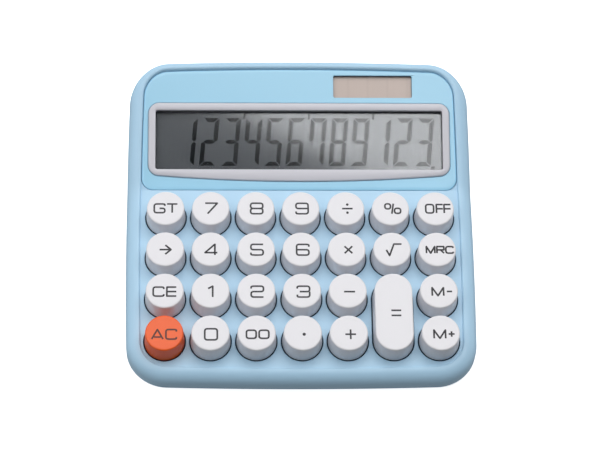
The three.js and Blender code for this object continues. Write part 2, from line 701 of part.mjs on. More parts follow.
// The flat cable leaves the back of the display glass and ends under the board's rear edge.
function ribbonGeometry() {
  const half = RIBBON_THICK / 2;
  const start = -holderTop - half;
  const under = -boardBottom - GAP - half;
  const path = new THREE.CatmullRomCurve3([
    inDisplay(0, lcdLow + ribbonSlot * 0.65, start),
    inDisplay(0, lcdLow + ribbonSlot * 0.4, start - 0.3),
    inDisplay(0, lcdLow + ribbonSlot * 0.25, start - HOLDER - 1),
    inDisplay(0, lcdLow - 1, start - HOLDER - 3.5),
    inDeck(0, boardHalfY + 1, under - 2),
    inDeck(0, boardHalfY - 2.5, under - 0.1),
    inDeck(0, boardHalfY - 6, under),
  ]);
  const centres = path.getSpacedPoints(14);
  const side = (offset) =>
    centres.map((p, i) => {
      const before = centres[Math.max(i - 1, 0)];
      const after = centres[Math.min(i + 1, centres.length - 1)];
      const along = after.clone().sub(before).normalize();
      return new THREE.Vector2(p.y - offset * along.z, p.z + offset * along.y);
    });
  const section = new THREE.Shape([...side(half), ...side(-half).reverse()]);
  return new THREE.ExtrudeGeometry(section, { depth: RIBBON_WIDTH, bevelEnabled: false })
    .translate(0, 0, -RIBBON_WIDTH / 2)
    .rotateY(Math.PI / 2)
    .rotateX(Math.PI / 2);
}

// A round wire along a smooth path.
function lead(points) {
  const path = new THREE.CatmullRomCurve3(points);
  const section = new THREE.Shape();
  section.absarc(0, 0, LEAD_RADIUS, 0, 2 * Math.PI);
  return new THREE.ExtrudeGeometry(section, { extrudePath: path, steps: 9, curveSegments: 3 });
}

const leadEnd = (x) => [
  inDeck(x, boardHalfY + 1, -boardBottom - 3.5),
  inDeck(x, boardHalfY - 3, -boardBottom - 3),
  inDeck(x, boardHalfY - 4, -boardBottom - GAP),
];
const solarLead = (x) =>
  lead([
    inDisplay(x, solarMiddle, -solarSeat),
    inDisplay(x, solarMiddle - 0.5, -displayWall - 4),
    inDisplay(x, solarMiddle - 6, -holderStakeEnd - 2),
    inDisplay(x, windowMiddle, -holderStakeEnd - 2),
    ...leadEnd(x),
  ]);
const cellLead = (x, startZ) =>
  lead([
    new THREE.Vector3(x, cellY, startZ),
    new THREE.Vector3(x, cellY, blockTop + 0.5),
    new THREE.Vector3(x, cellY - 6, blockTop + 2),
    new THREE.Vector3(x, cellY - DOOR_WIDTH / 2 - 4, blockTop + 1.5),
    ...leadEnd(x),
  ]);

// ---- Assembly --------------------------------------------------------------------------------

const calculator = new THREE.Group();
const deckGroup = new THREE.Group();
const displayGroup = new THREE.Group();
deckGroup.applyMatrix4(deckFrame);
displayGroup.applyMatrix4(displayFrame);
calculator.add(deckGroup, displayGroup);

function place(parent, name, geometry, material) {
  const mesh = new THREE.Mesh(geometry.isBufferGeometry ? geometry : geometryOf(geometry), material);
  mesh.name = name;
  parent.add(mesh);
  return mesh;
}

place(calculator, "top_case", topCaseSolid(), materials.skyPlastic);
place(calculator, "bottom_case", bottomCaseBody(), materials.skyPlastic);
place(calculator, "display_panel", panelBody(), materials.skyPlastic);

// Display stack
place(displayGroup, "display_bezel", bezelBody(), materials.bezel);
const lensGeometry = prism(neckShape(), -lensTop - LENS, -lensTop);
place(displayGroup, "display_window", lensGeometry, materials.lens);
const lcdGeometry = block(lcdWidth, lcdHeight, -lcdBottom, -lcdTop, 0, windowMiddle);
place(displayGroup, "lcd_module", lcdGeometry, materials.lcd);
place(displayGroup, "lcd_holder", holderBody(), materials.innerPlastic);
const solarGeometry = block(
  SOLAR_WIDTH + 2 * SOLAR_BORDER,
  SOLAR_HEIGHT + 2 * SOLAR_BORDER,
  -solarTop - SOLAR_THICK,
  -solarTop,
  SOLAR_X,
  solarMiddle,
);
place(displayGroup, "solar_cell", solarGeometry, materials.solar);

// Keypad stack
place(deckGroup, "key_mat", matBody(), materials.silicone);
place(deckGroup, "main_board", sheetWithHoles(boardTop, boardBottom), materials.board);
const chipTop = -boardBottom - GAP;
const chipGeometry = turned(
  [
    [0, chipTop - CHIP_HEIGHT],
    [CHIP_RADIUS * 0.6, chipTop - CHIP_HEIGHT * 0.85],
    [CHIP_RADIUS, chipTop],
    [0, chipTop],
  ],
  16,
);
place(deckGroup, "controller_chip", chipGeometry, materials.epoxy).position.set(-pitch, pitch / 2, 0);
place(calculator, "lcd_ribbon", ribbonGeometry(), materials.ribbon);
place(calculator, "solar_lead_red", solarLead(solarLeadXs[0]), materials.redLead);
place(calculator, "solar_lead_black", solarLead(solarLeadXs[1]), materials.blackLead);

KEYPAD.forEach((names, row) =>
  names.forEach((name, column) => {
    if (!name) return;
    const long = name === "equals";
    const material = name === "ac" ? materials.clearKey : materials.keyPlastic;
    const key = place(deckGroup, "key_" + name, long ? longCap() : keyCap(), material);
    key.position.set(columnX(column), long ? (rowY(row) + rowY(row - 1)) / 2 : rowY(row), 0);
  }),
);

// Battery bay
place(calculator, "battery_door", doorBody(), materials.skyPlastic);
place(calculator, "button_cell", rod(CELL_RADIUS, cellLow, cellHigh, CELL_X, cellY, 20), materials.steel);
const topContact = block(
  CONTACT_WIDTH,
  CONTACT_WIDTH,
  cellHigh + GAP,
  cellHigh + GAP + CONTACT,
  CELL_X,
  cellY,
);
place(calculator, "cell_contact_negative", topContact, materials.steel);
const sideContact = block(CONTACT, CONTACT_WIDTH, cellLow, cellHigh + GAP + CONTACT, cellLeadXs[1], cellY);
place(calculator, "cell_contact_positive", sideContact, materials.steel);
const leadStart = cellHigh + 2 * GAP + CONTACT;
place(calculator, "cell_lead_black", cellLead(cellLeadXs[0], leadStart), materials.blackLead);
place(calculator, "cell_lead_red", cellLead(cellLeadXs[1], leadStart), materials.redLead);

// Screws: a plain head below a shank, with the drive end down.
function screw(headRadius, headLow, headTop, shankRadius, tip) {
  return turned([
    [0, headLow],
    [headRadius, headLow],
    [headRadius, headTop],
    [shankRadius, headTop],
    [shankRadius, tip - shankRadius],
    [0, tip],
  ]);
}

const screwNames = ["front_left", "front_right", "middle_left", "middle_right", "rear_left", "rear_right"];
caseScrews.forEach(([x, y], i) => {
  const geometry = screw(SCREW_HEAD_RADIUS, bottomFace + SCREW_SINK, screwHeadTop, SCREW_RADIUS, screwTip);
  place(calculator, "case_screw_" + screwNames[i], geometry, materials.steel).position.set(x, y, 0);
});
const doorScrew = screw(
  DOOR_SCREW_HEAD_RADIUS,
  bottomFace + DOOR_SCREW_SINK,
  doorScrewHeadTop,
  DOOR_SCREW_RADIUS,
  doorScrewTip,
);
const doorScrewMesh = place(calculator, "battery_door_screw", doorScrew, materials.steel);
doorScrewMesh.position.set(doorX + DOOR_SCREW_X, cellY, 0);

// Feet
for (const [side, end, x, y] of feet) {
  const pad = turned(
    [
      [0, 0],
      [FOOT_RADIUS - 0.4, 0],
      [FOOT_RADIUS, 0.4],
      [FOOT_RADIUS, bottomFace + FOOT_INSERT],
      [0, bottomFace + FOOT_INSERT],
    ],
    14,
  );
  place(calculator, `foot_${end}_${side}`, pad, materials.rubber).position.set(x, y, 0);
}

export default calculator;
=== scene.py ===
"""Desk calculator: the looks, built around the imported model.

Shapes are worked out in millimetres and written to their meshes in metres, in the model's own coordinates:
+X to the user's right, +Y away from the user and +Z up. The deck and the display also have slope coordinates:
x, then s up the slope, then n out of it.
"""

import functools
import json
import math

import bmesh
import bpy
import numpy as np
from mathutils import Matrix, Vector
from mathutils.geometry import delaunay_2d_cdt

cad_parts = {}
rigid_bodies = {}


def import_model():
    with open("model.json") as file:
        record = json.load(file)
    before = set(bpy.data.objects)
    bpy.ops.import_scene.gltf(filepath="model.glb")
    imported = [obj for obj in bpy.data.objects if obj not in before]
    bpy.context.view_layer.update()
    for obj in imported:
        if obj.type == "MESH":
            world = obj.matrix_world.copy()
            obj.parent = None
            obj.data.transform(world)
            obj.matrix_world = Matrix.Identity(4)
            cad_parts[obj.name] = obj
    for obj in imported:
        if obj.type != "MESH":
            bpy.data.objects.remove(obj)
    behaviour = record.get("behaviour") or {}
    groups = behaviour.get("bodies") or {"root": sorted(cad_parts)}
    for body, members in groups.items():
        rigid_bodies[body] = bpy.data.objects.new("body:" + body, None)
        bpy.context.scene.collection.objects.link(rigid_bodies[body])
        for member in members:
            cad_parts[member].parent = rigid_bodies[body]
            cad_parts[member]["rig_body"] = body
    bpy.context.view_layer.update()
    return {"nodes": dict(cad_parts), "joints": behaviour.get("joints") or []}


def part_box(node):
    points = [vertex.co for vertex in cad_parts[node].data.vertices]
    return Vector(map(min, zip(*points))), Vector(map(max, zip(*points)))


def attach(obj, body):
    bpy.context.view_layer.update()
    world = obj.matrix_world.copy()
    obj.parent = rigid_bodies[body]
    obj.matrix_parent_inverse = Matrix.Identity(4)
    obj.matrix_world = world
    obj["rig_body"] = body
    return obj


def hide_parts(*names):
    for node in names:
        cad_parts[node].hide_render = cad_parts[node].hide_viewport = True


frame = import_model()

bl_info = {
    "name": "Desk Calculator",
    "version": (1, 0, 0),
    "blender": (4, 5, 0),
    "location": "3D View > Sidebar > Calculator",
    "description": "Builds a desk calculator with round keys around its packed model",
    "category": "Add Mesh",
}

MM = 0.001  # metres

# ---- Slopes and places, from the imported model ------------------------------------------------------


class Slope:
    """A plane tilted about X. Its points are (x, s up the slope, n out of it)."""

    def __init__(self, tilt):
        self.cos, self.sin = math.cos(tilt), math.sin(tilt)

    def world(self, points):
        """Turns slope coordinates about X into the model's coordinates."""
        x, s, n = np.moveaxis(np.asarray(points, float), -1, 0)
        return np.stack([x, s * self.cos - n * self.sin, s * self.sin + n * self.cos], -1)

    def box(self, node):
        """Lowest and highest corner of a CAD node in slope coordinates, in millimetres."""
        mesh = frame["nodes"][node].data
        points = np.zeros(3 * len(mesh.vertices))
        mesh.vertices.foreach_get("co", points)
        x, y, z = points.reshape(-1, 3).T / MM
        local = np.stack([x, y * self.cos + z * self.sin, z * self.cos - y * self.sin])
        return local.min(1), local.max(1)

    def surface(self, height):
        """Height z of the plane n = height above each y."""
        return lambda y: (height + y * self.sin) / self.cos

    def at(self, n):
        """The function that puts flat points (x, s) at height n on the slope."""
        return lambda points: self.world(np.column_stack([points, np.full(len(points), n)]))

    def plan(self, points):
        """Flat points (x, s) of points in the model's coordinates."""
        return np.stack([points[:, 0], points[:, 1] * self.cos + points[:, 2] * self.sin], 1)


def world_box(node):
    """Lowest and highest corner of a CAD node, in millimetres."""
    low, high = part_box(node)
    return np.array(low) / MM, np.array(high) / MM


PRESS_AXIS = frame["joints"][0]["axis"]
DISPLAY_TILT = math.radians(19)
DECK = Slope(math.atan2(PRESS_AXIS[1], -PRESS_AXIS[2]))
DISPLAY = Slope(DISPLAY_TILT)
KEY_RISE = 9.9  # cap top above the deck
KEY_TOP = DECK.box("key_5")[1][2]
DECK_N = KEY_TOP - KEY_RISE
DISPLAY_N = DISPLAY.box("display_panel")[1][2]
deck_z = DECK.surface(DECK_N)
display_z = DISPLAY.surface(DISPLAY_N)
FOLD_Y = (display_z(0) - deck_z(0)) / (DECK.sin / DECK.cos - DISPLAY.sin / DISPLAY.cos)
FOLD_S = FOLD_Y * DISPLAY.cos + display_z(FOLD_Y) * DISPLAY.sin

CASE_LOW, CASE_HIGH = world_box("top_case")
PARTING = CASE_LOW[2]  # foot of the upper case
BASE_LOW = world_box("bottom_case")[0][2]
KEY_NODES = sorted(name for name in frame["nodes"] if name.startswith("key_") and name != "key_mat")

GAP = 0.3  # between neighbouring pieces
WALL = 2.0
DECK_WALL = 1.8
PANEL = 1.6
PANEL_SEAT = PANEL + GAP  # depths below the display surface
SOLAR_SEAT = 3.3
DISPLAY_WALL = 3.9
FLOOR = 1.8
FLOOR_TOP = BASE_LOW + FLOOR
FRAME_RISE = 0.9  # display frame above the panel
FRAME_SEAT = 0.5  # depth of the frame's seat in the panel


def surface_z(y):
    """Height of the deck or the display above the desk, whichever is higher."""
    return np.maximum(deck_z(y), display_z(y))


# ---- Sizes and colours that a user would change ----------------------------------------------------


def length(name, description, millimetres):
    """A size as a property, from its value in millimetres."""
    return bpy.props.FloatProperty(
        name=name, description=description, default=millimetres * MM, min=0.0, unit="LENGTH", precision=5
    )


def colour(name, description, rgb):
    """A colour as a property, from linear red, green and blue."""
    return bpy.props.FloatVectorProperty(
        name=name, description=description, default=rgb, size=3, min=0.0, max=1.0, subtype="COLOR"
    )


def share(name, description, value):
    """A brightness as a property."""
    return bpy.props.FloatProperty(
        name=name, description=description, default=value, min=0.0, max=10.0, subtype="FACTOR"
    )


def power(name, description, watts):
    """A light's power as a property."""
    return bpy.props.FloatProperty(name=name, description=description, default=watts, min=0.0, unit="POWER")


class CalculatorCase(bpy.types.PropertyGroup):
    """Sizes of the case."""

    rim_side: length("Side rim", "Width of the rim at the sides", 6.2)
    rim_front: length("Front rim", "Width of the rim at the front", 6.0)
    rim_rear: length("Rear rim", "Width of the rim at the rear", 4.2)
    rim_lip: length("Rim height", "Height of the rim above the deck", 1.2)
    rim_fillet: length("Rim rounding", "Rounding of the outer top edge", 5.5)
    rim_land: length("Rim land", "Flat strip along the rim's inner edge", 0.8)
    rim_edge: length("Inner edge", "Rounding of the rim's inner edge", 0.7)
    inner_corner: length("Inner corner", "Radius of the corners inside the rim", 11.0)
    outer_corner: length("Outer corner", "Radius of the outer corners", 17.5)
    edge_bow: length("Bow", "How far each edge swells towards its middle", 1.4)
    base_fillet: length("Base rounding", "Rounding of the bottom edge", 4.0)


class CalculatorKeys(bpy.types.PropertyGroup):
    """Sizes of the keys."""

    base_radius: length("Base radius", "Radius of a cap at its foot", 8.8)
    top_radius: length("Top radius", "Radius of a cap at its top", 8.3)
    top_edge: length("Top edge", "Rounding of the cap's top edge", 0.7)
    hole_gap: length("Hole clearance", "Running clearance around a cap", 0.5)
    shell: length("Cap wall", "Wall of the hollow cap", 1.2)
    stroke: length("Legend stroke", "Width of the printed strokes", 0.78)


class CalculatorColours(bpy.types.PropertyGroup):
    """Colours of the finishes, in linear light."""

    plastic: colour("Case", "Pale blue moulded plastic", (0.42, 0.645, 0.825))
    panel: colour("Panel", "Blue plastic around the display", (0.36, 0.665, 0.86))
    key: colour("Keys", "White key caps", (0.79, 0.78, 0.81))
    clear_key: colour("Clear key", "Orange key cap", (0.87, 0.108, 0.005))
    # painted shade: a dark navy that stands in for the shade down the gaps around the keys and in the solar
    # opening; the plastic there is not this colour
    shade: colour("Painted shade", "Walls that lie below the deck", (0.045, 0.085, 0.14))
    ink: colour("Ink", "Printed legends", (0.02, 0.018, 0.024))
    clear_ink: colour("Clear ink", "Legend of the orange key", (0.09, 0.02, 0.01))
    tint: colour("Window", "Tint of the clear window", (0.84, 0.85, 0.86))
    silver: colour("Frame", "Frame around the display", (0.565, 0.56, 0.605))
    lcd: colour("Display", "Display glass at rest", (0.07, 0.075, 0.081))
    segment: colour("Segments", "Lit segments of the display", (0.004, 0.005, 0.006))
    solar: colour("Solar cell", "Solar cell behind its glass", (0.5, 0.4, 0.35))


class CalculatorStage(bpy.types.PropertyGroup):
    """Light and floor."""

    sides: share("Sides", "Brightness of the surroundings at the sides and the rear", 0.98)
    front: share("Front", "Brightness of the surroundings in front", 0.2)
    zenith: share("Zenith", "Brightness of the surroundings overhead", 0.03)
    below: share("Below", "Brightness that comes up from below", 0.34)
    softbox: power("Softbox", "Power of the light overhead", 12.7)
    fill: power("Fill", "Power of the light at the left", 8.5)
    floor: share("Floor", "Brightness of the floor", 0.93)


# ---- Outlines --------------------------------------------------------------------------------------

CORNER_POINTS = 17  # on each quarter round of the case
SIDE_POINTS = 14  # on each side, either side of the fold
END_POINTS = 28  # on the front and rear edges
RIGHT_FOLD = CORNER_POINTS + SIDE_POINTS - 1
LEFT_FOLD = 3 * CORNER_POINTS + 3 * SIDE_POINTS + END_POINTS - 4


def arc(x, y, radius, start, points):
    """A quarter of a circle about (x, y), counter-clockwise from the angle start."""
    angle = start + np.linspace(0, math.pi / 2, points)
    return np.stack([x + radius * np.cos(angle), y + radius * np.sin(angle)], 1)


def case_outline(half, low, high, corner, bow, inset=0.0):
    """Plan outline, counter-clockwise from the front right corner: a rounded rectangle whose edges swell.

    Each coordinate is scaled by one less a parabola of the other, so that every edge bows outwards by bow.
    """
    half, low, high, corner = half - inset, low + inset, high - inset, corner - inset
    middle, half_y, straight = (low + high) / 2, (high - low) / 2, half - corner
    fold = middle + (FOLD_Y - middle) / (1 - bow / half_y)
    ahead = np.linspace(low + corner, fold, SIDE_POINTS + 1)[1:]
    behind = np.linspace(fold, high - corner, SIDE_POINTS + 1)[1:-1]
    side = np.concatenate([ahead, behind])
    across = np.linspace(straight, -straight, END_POINTS)[1:-1]
    x, y = np.concatenate(
        [
            arc(straight, low + corner, corner, -math.pi / 2, CORNER_POINTS),
            np.stack([np.full_like(side, half), side], 1),
            arc(straight, high - corner, corner, 0, CORNER_POINTS),
            np.stack([across, np.full_like(across, high)], 1),
            arc(-straight, high - corner, corner, math.pi / 2, CORNER_POINTS),
            np.stack([np.full_like(side, -half), side[::-1]], 1),
            arc(-straight, low + corner, corner, math.pi, CORNER_POINTS),
            np.stack([-across, np.full_like(across, low)], 1),
        ]
    ).T
    swell_x = 1 - bow / half * ((y - middle) / half_y) ** 2
    swell_y = 1 - bow / half_y * (x / half) ** 2
    return np.stack([x * swell_x, middle + (y - middle) * swell_y], 1)


def outer_outline(case, inset=0.0):
    """The case's outer outline, moved inwards by inset."""
    corner, bow = case.outer_corner / MM, case.edge_bow / MM
    return case_outline(CASE_HIGH[0], CASE_LOW[1], CASE_HIGH[1], corner, bow, inset)


def inner_outline(case, inset=0.0):
    """The outline inside the rim, moved inwards by inset."""
    half = CASE_HIGH[0] - case.rim_side / MM
    front = CASE_LOW[1] + case.rim_front / MM
    rear = CASE_HIGH[1] - case.rim_rear / MM
    return case_outline(half, front, rear, case.inner_corner / MM, case.edge_bow / MM, inset)


def rounded_rectangle(low, high, corner, belly=0.0, corner_points=9, straight_points=24):
    """Counter-clockwise rounded rectangle from its foot's left end. Its foot hangs down by a parabola."""
    (left, bottom), (right, top) = low, high
    way = np.linspace(0, 1, straight_points + 2)[1:-1, None]
    arcs = [
        arc(right - corner, bottom + corner, corner, -math.pi / 2, corner_points),
        arc(right - corner, top - corner, corner, 0, corner_points),
        arc(left + corner, top - corner, corner, math.pi / 2, corner_points),
        arc(left + corner, bottom + corner, corner, math.pi, corner_points),
    ]
    parts = []
    for number, curve in enumerate(arcs):
        start, end = arcs[number - 1][-1], curve[0]
        straight = start + (end - start) * way
        if number == 0:
            straight = straight - [0, 4 * belly] * way * (1 - way)
        parts += [straight, curve]
    return np.concatenate(parts)


def circle(x, y, radius, points=40):
    """Counter-clockwise circle."""
    angle = np.arange(points) * 2 * math.pi / points
    return np.stack([x + radius * np.cos(angle), y + radius * np.sin(angle)], 1)


def unit(vectors):
    """Vectors scaled to length one."""
    return vectors / np.linalg.norm(vectors, axis=1, keepdims=True)


def bisectors(edges, closed=True):
    """Each corner's step to the left that keeps the sides parallel, from the edges that leave the corners."""
    normal = unit(np.stack([-edges[:, 1], edges[:, 0]], 1))
    earlier = np.roll(normal, 1, 0)
    if not closed:
        earlier[0] = normal[0]
    bisector = unit(normal + earlier)
    return bisector / (bisector * normal).sum(1, keepdims=True)


def inwards(loop, distance):
    """Moves a counter-clockwise outline inwards along the bisectors of its corners. A minus grows it."""
    return loop + distance * bisectors(np.roll(loop, -1, 0) - loop)


# ---- Meshes ----------------------------------------------------------------------------------------

FLAT = 0.1  # flat strip that keeps a rounded edge's shading off the flat face beside it
MERGE = 1e-6  # metres
SHARP = math.radians(34)
CASE_BODY = frame["nodes"]["top_case"]["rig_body"]


class Skin:
    """Patches that add up to one mesh. Points are in millimetres, in the model's coordinates.
    """

    def __init__(self):
        self.points, self.faces, self.finishes, self.count = [], [], [], 0

    def add(self, points, faces, finish=0):
        """Adds points and faces that number them from nought."""
        self.points.append(np.asarray(points, float).reshape(-1, 3))
        self.faces += (faces + self.count).tolist()
        self.finishes += [finish] * len(faces)
        self.count += len(self.points[-1])

    def grid(self, points, around=True, finish=0):
        """Quads between neighbouring rows of points; around joins each row's last point to its first."""
        points = np.asarray(points, float)
        rows, columns = points.shape[:2]
        index = np.arange(rows * columns).reshape(rows, columns)
        if around:
            index = np.concatenate([index, index[:, :1]], 1)
        quads = np.stack([index[:-1, :-1], index[:-1, 1:], index[1:, 1:], index[1:, :-1]], -1)
        self.add(points, quads.reshape(-1, 4), finish)

    def rings(self, put, outline, rows, finish=0):
        """Carries an outline through rows of (inset, height). put(height) lifts flat points to the height."""
        self.grid([put(height)(inwards(outline, inset)) for inset, height in rows], finish=finish)

    def wall(self, put, outline, *heights, finish=0):
        """A straight wall on an outline."""
        self.grid([put(height)(outline) for height in heights], finish=finish)

    def flat(self, lift, outline, *holes, finish=0):
        """Fills an outline less its holes with triangles. lift puts the flat points in their place."""
        faces, first = [], 0
        for loop in (outline, *holes):
            faces.append(list(range(first, first + len(loop))))
            first += len(loop)
        points = np.concatenate([outline, *holes]).tolist()
        found = delaunay_2d_cdt(points, [], faces, 2, 1e-7)
        self.add(lift(np.array(found[0])), np.array(found[2]), finish)

    def finish(self, name, finishes, slot, *nodes, body=CASE_BODY):
        """Makes the piece: merges the seams, turns the faces outwards and rides it on its body."""
        mesh = bpy.data.meshes.new(name)
        mesh.from_pydata((np.concatenate(self.points) * MM).tolist(), [], self.faces)
        mesh.polygons.foreach_set("material_index", self.finishes)
        edit = bmesh.new()
        edit.from_mesh(mesh)
        bmesh.ops.remove_doubles(edit, verts=edit.verts, dist=MERGE)
        bmesh.ops.dissolve_degenerate(edit, edges=edit.edges, dist=MERGE / 10)
        bmesh.ops.recalc_face_normals(edit, faces=edit.faces)
        edit.to_mesh(mesh)
        edit.free()
        for finish in finishes:
            mesh.materials.append(finish_material(finish))
        mesh.shade_smooth()
        mesh.set_sharp_from_angle(angle=SHARP)
        piece = bpy.data.objects.new(name, mesh)
        bpy.context.scene.collection.objects.link(piece)
        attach(piece, body)
        if nodes:
            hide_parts(*nodes)
        return piece


def level(z):
    """Puts flat points (x, y) at height z above the desk."""
    return lambda points: np.column_stack([points, np.full(len(points), z)])


def quarter_round(radius, steps=5):
    """Insets and drops along a rounded edge, from the side up to the face: a quarter of a circle."""
    angle = np.linspace(0, math.pi / 2, steps + 1)
    return list(zip(radius * (1 - np.cos(angle)), radius * (1 - np.sin(angle))))


def plate(skin, put, outline, low, high, edge):
    """A flat plate whose edges are quarter rounds. put(height) lifts flat points to that height."""
    rows = [(edge + FLAT, low)]
    rows += [(inset, low + drop) for inset, drop in reversed(quarter_round(edge))]
    rows += [(inset, high - drop) for inset, drop in quarter_round(edge)]
    rows += [(edge + FLAT, high)]
    skin.rings(put, outline, rows)
    border = inwards(outline, edge + FLAT)
    skin.flat(put(low), border)
    skin.flat(put(high), border)


def turned(skin, x, y, profile, points=40):
    """A turned surface: profile points (radius, height) carried around a standing axis."""
    skin.grid([level(height)(circle(x, y, radius, points)) for radius, height in profile])


# ---- Materials -------------------------------------------------------------------------------------

DUST_COLOUR = (0.86, 0.86, 0.84, 1)


def socket(group, name, kind, direction, default=None):
    """Adds a named socket to a shader node group."""
    made = group.interface.new_socket(name=name, in_out=direction, socket_type="NodeSocket" + kind)
    if default is not None:
        made.default_value = default
    return made


def maths(tree, operation, *values):
    """A Math node on values that are numbers or sockets. Returns its output."""
    node = tree.nodes.new("ShaderNodeMath")
    node.operation = operation
    for number, value in enumerate(values):
        if isinstance(value, (int, float)):
            node.inputs[number].default_value = value
        else:
            tree.links.new(value, node.inputs[number])
    return node.outputs[0]


def noise(tree, scale, detail=2.0, roughness=0.5):
    """A noise texture on Object coordinates. Returns its height output."""
    place = tree.nodes.new("ShaderNodeTexCoord")
    node = tree.nodes.new("ShaderNodeTexNoise")
    node.inputs["Detail"].default_value = detail
    node.inputs["Roughness"].default_value = roughness
    tree.links.new(place.outputs["Object"], node.inputs["Vector"])
    if isinstance(scale, (int, float)):
        node.inputs["Scale"].default_value = scale
    else:
        tree.links.new(scale, node.inputs["Scale"])
    return node.outputs[0]


def stripes(tree, scale, distortion=0.0):
    """A wave texture across x on Object coordinates. Returns its height output."""
    place = tree.nodes.new("ShaderNodeTexCoord")
    node = tree.nodes.new("ShaderNodeTexWave")
    node.bands_direction = "X"
    node.inputs["Scale"].default_value = scale
    node.inputs["Distortion"].default_value = distortion
    tree.links.new(place.outputs["Object"], node.inputs["Vector"])
    return node.outputs["Fac"]


def blend_colours(tree, kind, factor, first, second):
    """A colour Mix node of one kind. Returns its output."""
    node = tree.nodes.new("ShaderNodeMix")
    node.data_type = "RGBA"
    node.blend_type = kind
    for number, value in ((0, factor), (6, first), (7, second)):
        if isinstance(value, bpy.types.NodeSocket):
            tree.links.new(value, node.inputs[number])
        else:
            node.inputs[number].default_value = value
    return node.outputs[2]


@functools.cache
def moulded_group():
    """Moulded surface: slow mottling of the colour, uneven gloss and a fine eroded grain.

    The colour is scaled by one plus the mottle times a slow noise about nought and a fine one. The gloss
    follows the slow noise, and the height is the fine one.
    """
    group = bpy.data.node_groups.new("Moulded surface", "ShaderNodeTree")
    socket(group, "Colour", "Color", "INPUT", (0.8, 0.8, 0.8, 1))
    socket(group, "Mottle", "Float", "INPUT", 0.03)
    socket(group, "Mottle scale", "Float", "INPUT", 40)
    socket(group, "Roughness", "Float", "INPUT", 0.4)
    socket(group, "Gloss spread", "Float", "INPUT", 0.06)
    socket(group, "Grain scale", "Float", "INPUT", 3500)
    socket(group, "Colour", "Color", "OUTPUT")
    socket(group, "Roughness", "Float", "OUTPUT")
    socket(group, "Height", "Float", "OUTPUT")
    given = group.nodes.new("NodeGroupInput").outputs
    made = group.nodes.new("NodeGroupOutput").inputs
    slow = maths(group, "SUBTRACT", noise(group, given["Mottle scale"], 3.0), 0.5)
    fine = noise(group, given["Grain scale"], 1.0)
    bright = maths(group, "MULTIPLY_ADD", slow, maths(group, "MULTIPLY", given["Mottle"], 2.0), 1.0)
    flecked = maths(group, "MULTIPLY_ADD", maths(group, "SUBTRACT", fine, 0.5), given["Mottle"], bright)
    scale = group.nodes.new("ShaderNodeVectorMath")
    scale.operation = "SCALE"
    group.links.new(given["Colour"], scale.inputs[0])
    group.links.new(flecked, scale.inputs["Scale"])
    group.links.new(scale.outputs[0], made["Colour"])
    gloss = maths(group, "MULTIPLY_ADD", slow, given["Gloss spread"], given["Roughness"])
    group.links.new(gloss, made["Roughness"])
    group.links.new(fine, made["Height"])
    return group


@functools.cache
def dust_group():
    """Settled dust: a pale film where a face looks up, broken up by noise.

    The cover is the upward part of the normal, squared, times a clamped noise and the amount.
    """
    group = bpy.data.node_groups.new("Settled dust", "ShaderNodeTree")
    socket(group, "Colour", "Color", "INPUT", (0.8, 0.8, 0.8, 1))
    socket(group, "Roughness", "Float", "INPUT", 0.4)
    socket(group, "Amount", "Float", "INPUT", 0.03)
    socket(group, "Colour", "Color", "OUTPUT")
    socket(group, "Roughness", "Float", "OUTPUT")
    given = group.nodes.new("NodeGroupInput").outputs
    made = group.nodes.new("NodeGroupOutput").inputs
    face = group.nodes.new("ShaderNodeNewGeometry")
    split = group.nodes.new("ShaderNodeSeparateXYZ")
    group.links.new(face.outputs["Normal"], split.inputs[0])
    up = maths(group, "MAXIMUM", split.outputs["Z"], 0.0)
    patches = maths(group, "SMOOTH_MIN", noise(group, 260, 5.0, 0.65), 0.7, 0.1)
    patchy = maths(group, "MULTIPLY", maths(group, "POWER", up, 2.0), patches)
    cover = maths(group, "MULTIPLY", patchy, given["Amount"])
    dusty = blend_colours(group, "MIX", cover, given["Colour"], DUST_COLOUR)
    group.links.new(dusty, made["Colour"])
    group.links.new(maths(group, "MULTIPLY_ADD", cover, 0.4, given["Roughness"]), made["Roughness"])
    return group


def placed(tree, group, **values):
    """Places a node group and sets or links its inputs. Underscores in a name stand for spaces."""
    node = tree.nodes.new("ShaderNodeGroup")
    node.node_tree = group
    for name, value in values.items():
        target = node.inputs[name.replace("_", " ")]
        if isinstance(value, bpy.types.NodeSocket):
            tree.links.new(value, target)
        else:
            target.default_value = value
    return node.outputs


def new_material(name):
    """A new node material. Returns it, its tree and its Principled shader."""
    material = bpy.data.materials.new(name)
    material.use_nodes = True
    tree = material.node_tree
    return material, tree, tree.nodes["Principled BSDF"]


def add_bump(tree, shader, height, relief):
    """Feeds a height from nought to one to the shader's normal, with its relief in millimetres."""
    bump = tree.nodes.new("ShaderNodeBump")
    bump.inputs["Distance"].default_value = relief * MM
    bump.inputs["Strength"].default_value = 1.0
    tree.links.new(height, bump.inputs["Height"])
    tree.links.new(bump.outputs["Normal"], shader.inputs["Normal"])


def moulded_surface(tree, rgb, **values):
    """The moulded surface group with a colour and its other values."""
    return placed(tree, moulded_group(), Colour=(*rgb, 1), **values)


def set_shader(shader, **values):
    """Sets a shader's own sockets. Underscores in a name stand for spaces."""
    for name, value in values.items():
        shader.inputs[name.replace("_", " ")].default_value = value


def moulded_finish(
    name, rgb, roughness, mottle=0.03, scale=40, grain=3500, relief=0.012, dust=0.02, **shading
):
    """Moulded plastic, rubber, paint or metal: the moulded surface, then dust, then a fine bump.

    scale and grain are the scales of the mottle and the grain, and relief is the bump's, in millimetres.
    """
    material, tree, shader = new_material(name)
    surface = moulded_surface(
        tree, rgb, Mottle=mottle, Mottle_scale=scale, Roughness=roughness, Grain_scale=grain
    )
    film = placed(tree, dust_group(), Colour=surface["Colour"], Roughness=surface["Roughness"], Amount=dust)
    tree.links.new(film["Colour"], shader.inputs["Base Color"])
    tree.links.new(film["Roughness"], shader.inputs["Roughness"])
    set_shader(shader, **shading)
    add_bump(tree, shader, surface["Height"], relief)
    return material


